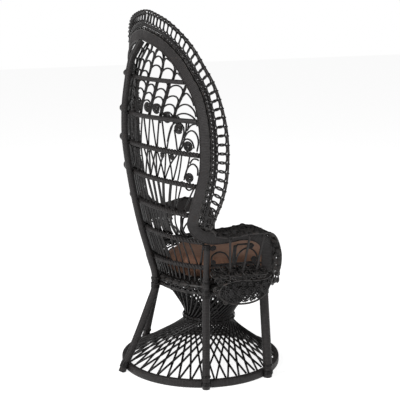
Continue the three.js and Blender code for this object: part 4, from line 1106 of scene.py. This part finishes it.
class PEACOCK_CHAIR_OT_arms(bpy.types.Operator):
    """The arm's side: rail, woven ledge, three sticks and the arched panel with its coils"""
    bl_idname = "peacock_chair.arms"
    bl_label = "Arm sides"

    def execute(self, context):
        rail = wound(arm_rail(np.linspace(0, 1, 80)), 4.6, 6, 0.3, 10, UP)
        put_pair("arm_side_rail_wound", rail, WOUND, "arm_side_rail")
        # Ledge: canes laid across its slope side by side, with weavers along it
        top = arm_rail(np.linspace(0, LEDGE_END, 47), LEDGE_DROP)
        s = np.linspace(0, 1, 8)[:, None]
        ledge = [rod(top[:, None] + LEDGE_FALL * LEDGE_WIDTH * s + UP * 1.6 * np.sin(np.pi * s), 2.5)]
        over = 1.9 * np.cos(np.linspace(0, 46 * np.pi, 120)) + 2.2
        for share in (0.08, 0.36, 0.64, 0.97):
            line = arm_rail(np.linspace(0, LEDGE_END, 120), LEDGE_DROP + over)
            ledge.append(rod(line + LEDGE_FALL * LEDGE_WIDTH * share, 2.6))
        put_pair("arm_ledge_woven", together(ledge), CANE, "arm_flare")
        # Curls of split cane lie over the ledge in two rows and hang a little past its edge
        scroll = []
        for k, share in enumerate(np.linspace(0.02, 0.96, 13)):
            odd = k % 2
            spot = arm_rail(share, 2.5 * odd - 1.5) + LEDGE_FALL * (14 if odd else 38)
            across = (0, 1 if k % 3 else -1, 0)
            scroll.append(coil(spot, across, unit(LEDGE_FALL), 25, 3.4, 1.8, k * 1.9))
        for share in np.linspace(0.04, 0.94, 10):
            spot = arm_rail(share, LEDGE_DROP) + LEDGE_FALL * 50
            scroll.append(coil(spot, (0, 1, 0), (-0.25, 0, -0.97), 17, 3.2, 1.5, share * 11))
        # Curls run on down from the ledge's ends, behind the flap to the rear and round the corner
        # in front: each has its angle, its height and its reach
        for degrees, height, reach in (
                (157, 456, 19), (159, 430, 18), (156, 402, 18), (159, 376, 17), (163, 352, 14),
                (211, 446, 18), (217, 430, 19), (214, 404, 18), (223, 420, 18), (221, 394, 17)):
            spot, run = seat_spot(49, degrees, height)
            scroll.append(coil(spot, run, UP, reach, 3.3, 1.9, height))
        put_pair("arm_ledge_scrolls", together(scroll), POLE)
        for name in ("arm_stick_1", "arm_stick_2", "arm_stick_3"):
            low, high = box_mm(name + "_left")
            points = np.array([v.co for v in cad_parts[name + "_left"].data.vertices])
            points = points * 1000 - [0, RING_Y * 1000, 0]
            upper = points[:, 2] > (low[2] + high[2]) / 2
            foot_at, head_at = points[~upper].mean(0), points[upper].mean(0)
            line = foot_at + (head_at - foot_at) * np.linspace(0, 1, 40)[:, None]
            run = head_at - foot_at
            stick = [wound(line, 5.2, 4.5, 0.3, 10), turns(line[3], run, 6.4, 9, 1.7),
                     turns(line[-4], run, 6.6, 10, 1.9)]
            put_pair(name + "_wound", together(stick), WOUND, name)
        # Arched panel, by (part of the rail, height above it): three arches, a foot rail, three
        # canes side by side between the arches, and coils in its corners
        roof = box_mm("arm_arches_left")[1][2] - ARM_RAIL_HEIGHT - 3.6
        s = np.linspace(0, 1, 30)
        arcs = []
        for knots in ([[0.02, 4], [0.03, 40], [0.1, 55], [0.19, 59], [0.29, 50], [0.36, 27], [0.385, 2]],
                      [[0.44, 2], [0.45, 48], [0.53, 86], [0.62, 97], [0.72, 101]],
                      [[0.48, 2], [0.53, 38], [0.62, 60], [0.74, 67], [0.86, 53], [0.93, 27], [0.95, 2]]):
            place = spline(knots, s)
            arcs.append(rod(arm_rail(place[:, 0], np.minimum(place[:, 1], roof)), 3.7))
        arcs.append(rod(arm_rail(np.linspace(0.03, 0.95, 30), 7.0), 3.4))
        for part in (0.434, 0.455, 0.476):
            arcs.append(rod(arm_rail(part + 0.03 * s**2, 2 + (roof - 4) * s), 3.4))
        side = unit(arm_rail(0.9) - arm_rail(0.1))
        for part, height, reach in ((0.065, 81.5, 14), (0.06, 16, 13.5), (0.8, 81.5, 14), (0.86, 17, 15.5)):
            spot = arm_rail(part, min(height, roof - reach + 6))
            arcs.append(coil(spot, side, UP, reach, 2.9, reach / 5.6, part * 20))
        put_pair("arm_arches_canes", together(arcs), CANE, "arm_arches")
        return {"FINISHED"}


# A flap's outline, as (part of its half width, part of its height)
FLAP = np.array([
    [-1, 1], [-0.66, 0.86], [-0.33, 0.86], [0, 0.9], [0.33, 0.95], [0.66, 0.9], [0.88, 0.76],
    [1, 0.5], [0.92, 0.24], [0.7, 0.06], [0.36, 0], [0, 0], [-0.36, 0.1], [-0.66, 0.34],
])
SIDE_FLAP_BEYOND = 55.4  # how far the side flap hangs outside the seat's oval


def flap_shapes(angle, half, low, rise, beyond, coils=8):
    """A lace flap: a closed loop on the oval outside the seat, filled with two layers of coils whose
    reach is half the loop's height there, and smaller ones above and below them."""
    def outline(behind):
        """The flap's outline on the seat's oval, `behind` mm inside the loop."""
        return seat_oval(beyond - behind, angle - FLAP[:, 0] * half, low + FLAP[:, 1] * rise)

    lace = []
    for count, behind, phase in ((coils, 0.0, 0.5), (coils - 1, 5.5, 1.0)):
        s = (np.arange(count) + phase) / coils
        upper = spline(outline(behind), 0.03 + 0.44 * s, True)
        lower = spline(outline(behind), 0.975 - 0.42 * s, True)
        tall = np.linalg.norm(upper - lower, axis=1)
        middle = (upper + lower) / 2
        rises = unit(upper - lower)
        along = square_to(np.gradient(middle, axis=0), rises)
        for k in range(count):
            reach = min(tall[k] / 2 - 2.5, 27.0)
            if reach > 7:
                lace.append(coil(middle[k], along[k] * (-1)**k, rises[k], reach, 3.2, reach / 9.5, k * 2.3))
            if tall[k] > 66:
                for side in (-1, 1):
                    spot = middle[k] + rises[k] * side * (tall[k] / 2 - 15)
                    lace.append(coil(spot, along[k], rises[k], 13, 3.0, 1.6, k * 1.7))
    return rod(spline(outline(0), np.arange(120) / 120, True), 4.1, 8, closed=True), together(lace)


class PEACOCK_CHAIR_OT_flaps(bpy.types.Operator):
    """Lace flaps that hang under each arm and at the front of the seat"""
    bl_idname = "peacock_chair.flaps"
    bl_label = "Lace flaps"

    def execute(self, context):
        loop, lace = flap_shapes(184, 26, 341, 104, SIDE_FLAP_BEYOND)
        # The border's two rods run on from the arm's foot into the loop's front corner
        end = seat_oval(SIDE_FLAP_BEYOND, 209, 438.0)
        rods = [loop]
        for away in (0.0, 23.0):
            top = border(1.0, away)
            knots = np.array([top + [0, 0, 12], top, (top + end) / 2 + [-4, -4, -5], end])
            rods.append(rod(spline(knots, np.linspace(0, 1, 24)), 3.8, 8))
        put_pair("side_flap_loop", together(rods), POLE, "side_flap_rod")
        put_pair("side_flap_scrolls", lace, CANE, "side_flap_lace")
        loop, lace = flap_shapes(270, 30, 325, 92, 14.9)
        put("front_flap_loop", loop, POLE, "front_flap_rod")
        put("front_flap_scrolls", lace, CANE, "front_flap_lace")
        return {"FINISHED"}


def settle(obj):
    """Puts the result of an object's modifiers into its mesh."""
    bpy.context.view_layer.update()
    graph = bpy.context.evaluated_depsgraph_get()
    mesh = bpy.data.meshes.new_from_object(obj.evaluated_get(graph))
    obj.modifiers.clear()
    obj.data = mesh


def read_points(obj):
    """The places of a mesh's points, in metres."""
    co = np.zeros(len(obj.data.vertices) * 3, np.float32)
    obj.data.vertices.foreach_get("co", co)
    return co.reshape(-1, 3).astype(float)


def write_points(obj, points):
    """Moves a mesh's points, in metres, and shades it smooth."""
    obj.data.vertices.foreach_set("co", points.astype(np.float32).ravel())
    obj.data.polygons.foreach_set("use_smooth", np.ones(len(obj.data.polygons), bool))
    obj.data.update()


def blow_up(obj, frames=20, most=0.018):
    """Fills a cloth skin with air for a few frames, and moves no point by more than `most` metres."""
    remesh = obj.modifiers.new("remesh", "REMESH")
    remesh.mode, remesh.voxel_size = "VOXEL", 0.006
    settle(obj)
    start = read_points(obj)
    cloth = obj.modifiers.new("cloth", "CLOTH")
    cloth.settings.use_pressure = True
    cloth.settings.uniform_pressure_force = 4
    cloth.settings.effector_weights.gravity = 0
    cloth.settings.quality = 6
    cloth.point_cache.frame_start, cloth.point_cache.frame_end = 1, frames
    for number in range(1, frames + 1):
        bpy.context.scene.frame_set(number)
    settle(obj)
    bpy.context.scene.frame_set(1)
    step = read_points(obj) - start
    far = np.linalg.norm(step, axis=1, keepdims=True)
    write_points(obj, start + step * np.minimum(1, most / np.maximum(far, 1e-9)))


class PEACOCK_CHAIR_OT_cushion(bpy.types.Operator):
    """The loose round cushion, blown up by cloth simulation, with its piped seam"""
    bl_idname = "peacock_chair.cushion"
    bl_label = "Cushion"

    def execute(self, context):
        low, high = box_mm("seat_cushion")
        centre = (low + high) / 2
        half = (high - low) / 2
        # The skin's side, as (part of the radius, part of the height), from the deck up
        profile = np.array([[0.02, 0.01], [0.6, 0.01], [0.86, 0.03], [0.93, 0.1], [0.96, 0.25], [0.965, 0.42],
                            [0.955, 0.58], [0.9, 0.77], [0.72, 0.88], [0.4, 0.93], [0.02, 0.94]])
        rows, sides = 41, 96
        side = spline(profile, np.linspace(0, 1, rows))
        a = TAU * np.arange(sides) / sides
        out, up = side[:, :1], side[:, 1:]
        ring = oval(half[0] * out, half[1] * out, centre[1], a, low[2] + 2 * half[2] * up) + [centre[0], 0, 0]
        middles = [[*centre[:2], ring[0, 0, 2]], [*centre[:2], ring[-1, 0, 2]]]
        _, _, quads, fans = tube_faces(rows, sides)
        shape = without_uv(np.concatenate([ring.reshape(-1, 3), middles]), quads, fans)
        obj = make_mesh("seat_cushion_padded", shape, CLOTH)
        blow_up(obj)
        soft = obj.modifiers.new("soften", "SMOOTH")
        soft.factor, soft.iterations = 0.5, 6
        smooth = obj.modifiers.new("subdivision", "SUBSURF")
        smooth.levels = smooth.render_levels = 1
        settle(obj)
        # It lies flat on the deck, and stays in the room of its solid
        points = read_points(obj) * 1000 - [0, RING_Y * 1000, 0]
        plan = points[:, :2] - centre[:2]
        plan = plan * min(1.0, float((half[:2] / np.abs(plan).max(0)).min()))
        height = (points[:, 2] - low[2]) * (2 * half[2] / (points[:, 2].max() - low[2]))
        height = np.maximum(height, 0.2)
        # A shallow dip where people sit, and gathers that run in from the seam
        away = np.linalg.norm(plan / half[:2], axis=1)
        angle = np.arctan2(plan[:, 1], plan[:, 0])
        folds = np.sin(23 * angle + 2 * np.sin(5 * angle)) + 0.6 * np.sin(41 * angle)
        gather = 0.9 * np.exp(-((away - 0.9) / 0.09)**2) * folds
        upper = height > half[2]
        height = height + np.where(upper, gather - 3.0 * np.exp(-(away / 0.45)**2), 0)
        height = np.minimum(height, 2 * half[2])
        points = np.concatenate([plan, height[:, None]], 1) + [*centre[:2], low[2]]
        write_points(obj, (points + [0, RING_Y * 1000, 0]) / 1000)
        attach(obj, "cushion")
        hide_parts("seat_cushion")
        # Piping: the widest place in each of 72 slices, smoothed by its first nine harmonics
        slices = 72
        widest = np.zeros(slices)
        np.maximum.at(widest, (angle / TAU * slices).astype(int) % slices, np.hypot(*plan.T))
        spectrum = np.fft.rfft(widest)
        spectrum[10:] = 0
        widest = np.fft.irfft(spectrum, slices)
        seam = circle(widest, section_angles(slices), low[2] + half[2] * 0.92, centre[1]) + [centre[0], 0, 0]
        line = spline(seam, np.arange(4 * slices) / (4 * slices), True)
        piping = context.scene.peacock_chair_sizes.piping * 1000
        cord = make_mesh("seat_cushion_piping", rod(line, piping, 8, UP, True), CORD)
        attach(cord, "cushion")
        return {"FINISHED"}


def set_up(name, data, spot, target):
    """Puts a lamp or the camera at a spot in the scene, turned to face its target."""
    obj = bpy.data.objects.new(name, data)
    obj.location = spot
    obj.rotation_euler = (Vector(spot) - Vector(target)).to_track_quat("Z", "Y").to_euler()
    bpy.context.scene.collection.objects.link(obj)
    return obj


class PEACOCK_CHAIR_OT_stage(bpy.types.Operator):
    """White paper floor, soft lamps, white world and the camera at the photograph's angle"""
    bl_idname = "peacock_chair.stage"
    bl_label = "Stage"

    def execute(self, context):
        scene = context.scene
        # One square of paper, half a millimetre under the chair's foot
        corners = np.array([[-1, -1, 0], [1, -1, 0], [1, 1, 0], [-1, 1, 0]]) * 14000.0 - [0, 0, 0.5]
        floor = without_uv(corners - [0, RING_Y * 1000, 0], np.array([[0, 1, 2, 3]]), np.zeros((0, 3), int))
        make_mesh("studio_floor", floor, PAPER)
        # The world lights the chair softly, and the camera sees it as plain white
        scene.world = bpy.data.worlds.new("White studio")
        tree = new_tree(scene.world)
        light, white = (add_node(tree, "Background", {"Color": (1, 1, 1, 1), "Strength": strength})
                        for strength in (0.17, 1.0))
        seen = add_node(tree, "LightPath").outputs["Is Camera Ray"]
        mix = add_node(tree, "MixShader", {0: seen, 1: light.outputs[0], 2: white.outputs[0]})
        add_node(tree, "OutputWorld", {"Surface": mix.outputs[0]})
        # Each lamp's place and size in metres, and its power in watts
        for name, spot, size, power in (
                ("key_lamp", (-1.6, 4.4, 3.4), 1.8, 152), ("side_lamp", (-3.4, -1.8, 2.6), 2.2, 30),
                ("far_lamp", (2.8, 1.6, 2.8), 2.4, 20)):
            lamp = bpy.data.lights.new(name, "AREA")
            lamp.shape, lamp.size, lamp.energy = "DISK", size, power
            set_up(name, lamp, spot, (0, 0, 0.7))
        # The photograph is matched from 4.6 m, 245 degrees round and 12 degrees up
        camera = bpy.data.cameras.new("camera")
        camera.sensor_width, camera.lens, camera.clip_end = 36, 98.2, 100
        spot, target = (-4.1269, 1.8736 + RING_Y, 1.6786), (0.0126, -0.0035 + RING_Y, 0.710)
        scene.camera = set_up("camera", camera, spot, target)
        scene.view_settings.view_transform = "Standard"
        return {"FINISHED"}


STEPS = (
    PEACOCK_CHAIR_OT_finishes, PEACOCK_CHAIR_OT_base, PEACOCK_CHAIR_OT_seat, PEACOCK_CHAIR_OT_poles,
    PEACOCK_CHAIR_OT_hoop, PEACOCK_CHAIR_OT_border, PEACOCK_CHAIR_OT_rails, PEACOCK_CHAIR_OT_field,
    PEACOCK_CHAIR_OT_arms, PEACOCK_CHAIR_OT_flaps, PEACOCK_CHAIR_OT_cushion, PEACOCK_CHAIR_OT_stage,
)


class PEACOCK_CHAIR_PT_panel(bpy.types.Panel):
    """Lists the chair's colours, sizes and pieces"""
    bl_label = "Peacock Chair"
    bl_space_type = "VIEW_3D"
    bl_region_type = "UI"
    bl_category = "Peacock Chair"

    def draw(self, context):
        scene = context.scene
        for group in (scene.peacock_chair_colours, scene.peacock_chair_sizes):
            box = self.layout.box()
            for name in group.__annotations__:
                box.prop(group, name)
        for step in STEPS:
            self.layout.operator(step.bl_idname)


CLASSES = (ChairColours, ChairSizes) + STEPS + (PEACOCK_CHAIR_PT_panel,)


def register():
    """Makes the classes known to Blender, and gives each scene its colours and sizes."""
    for item in CLASSES:
        bpy.utils.register_class(item)
    bpy.types.Scene.peacock_chair_colours = bpy.props.PointerProperty(type=ChairColours)
    bpy.types.Scene.peacock_chair_sizes = bpy.props.PointerProperty(type=ChairSizes)


def unregister():
    """Takes back what `register` did, in the reverse order."""
    del bpy.types.Scene.peacock_chair_sizes
    del bpy.types.Scene.peacock_chair_colours
    for item in reversed(CLASSES):
        bpy.utils.unregister_class(item)


def main():
    """Registers the add-on and runs its operators in order."""
    register()
    chair = bpy.ops.peacock_chair
    for step in (chair.finishes, chair.base, chair.seat, chair.poles, chair.hoop, chair.border, chair.rails,
                 chair.field, chair.arms, chair.flaps, chair.cushion, chair.stage):
        step()


if __name__ == "__main__":
    main()
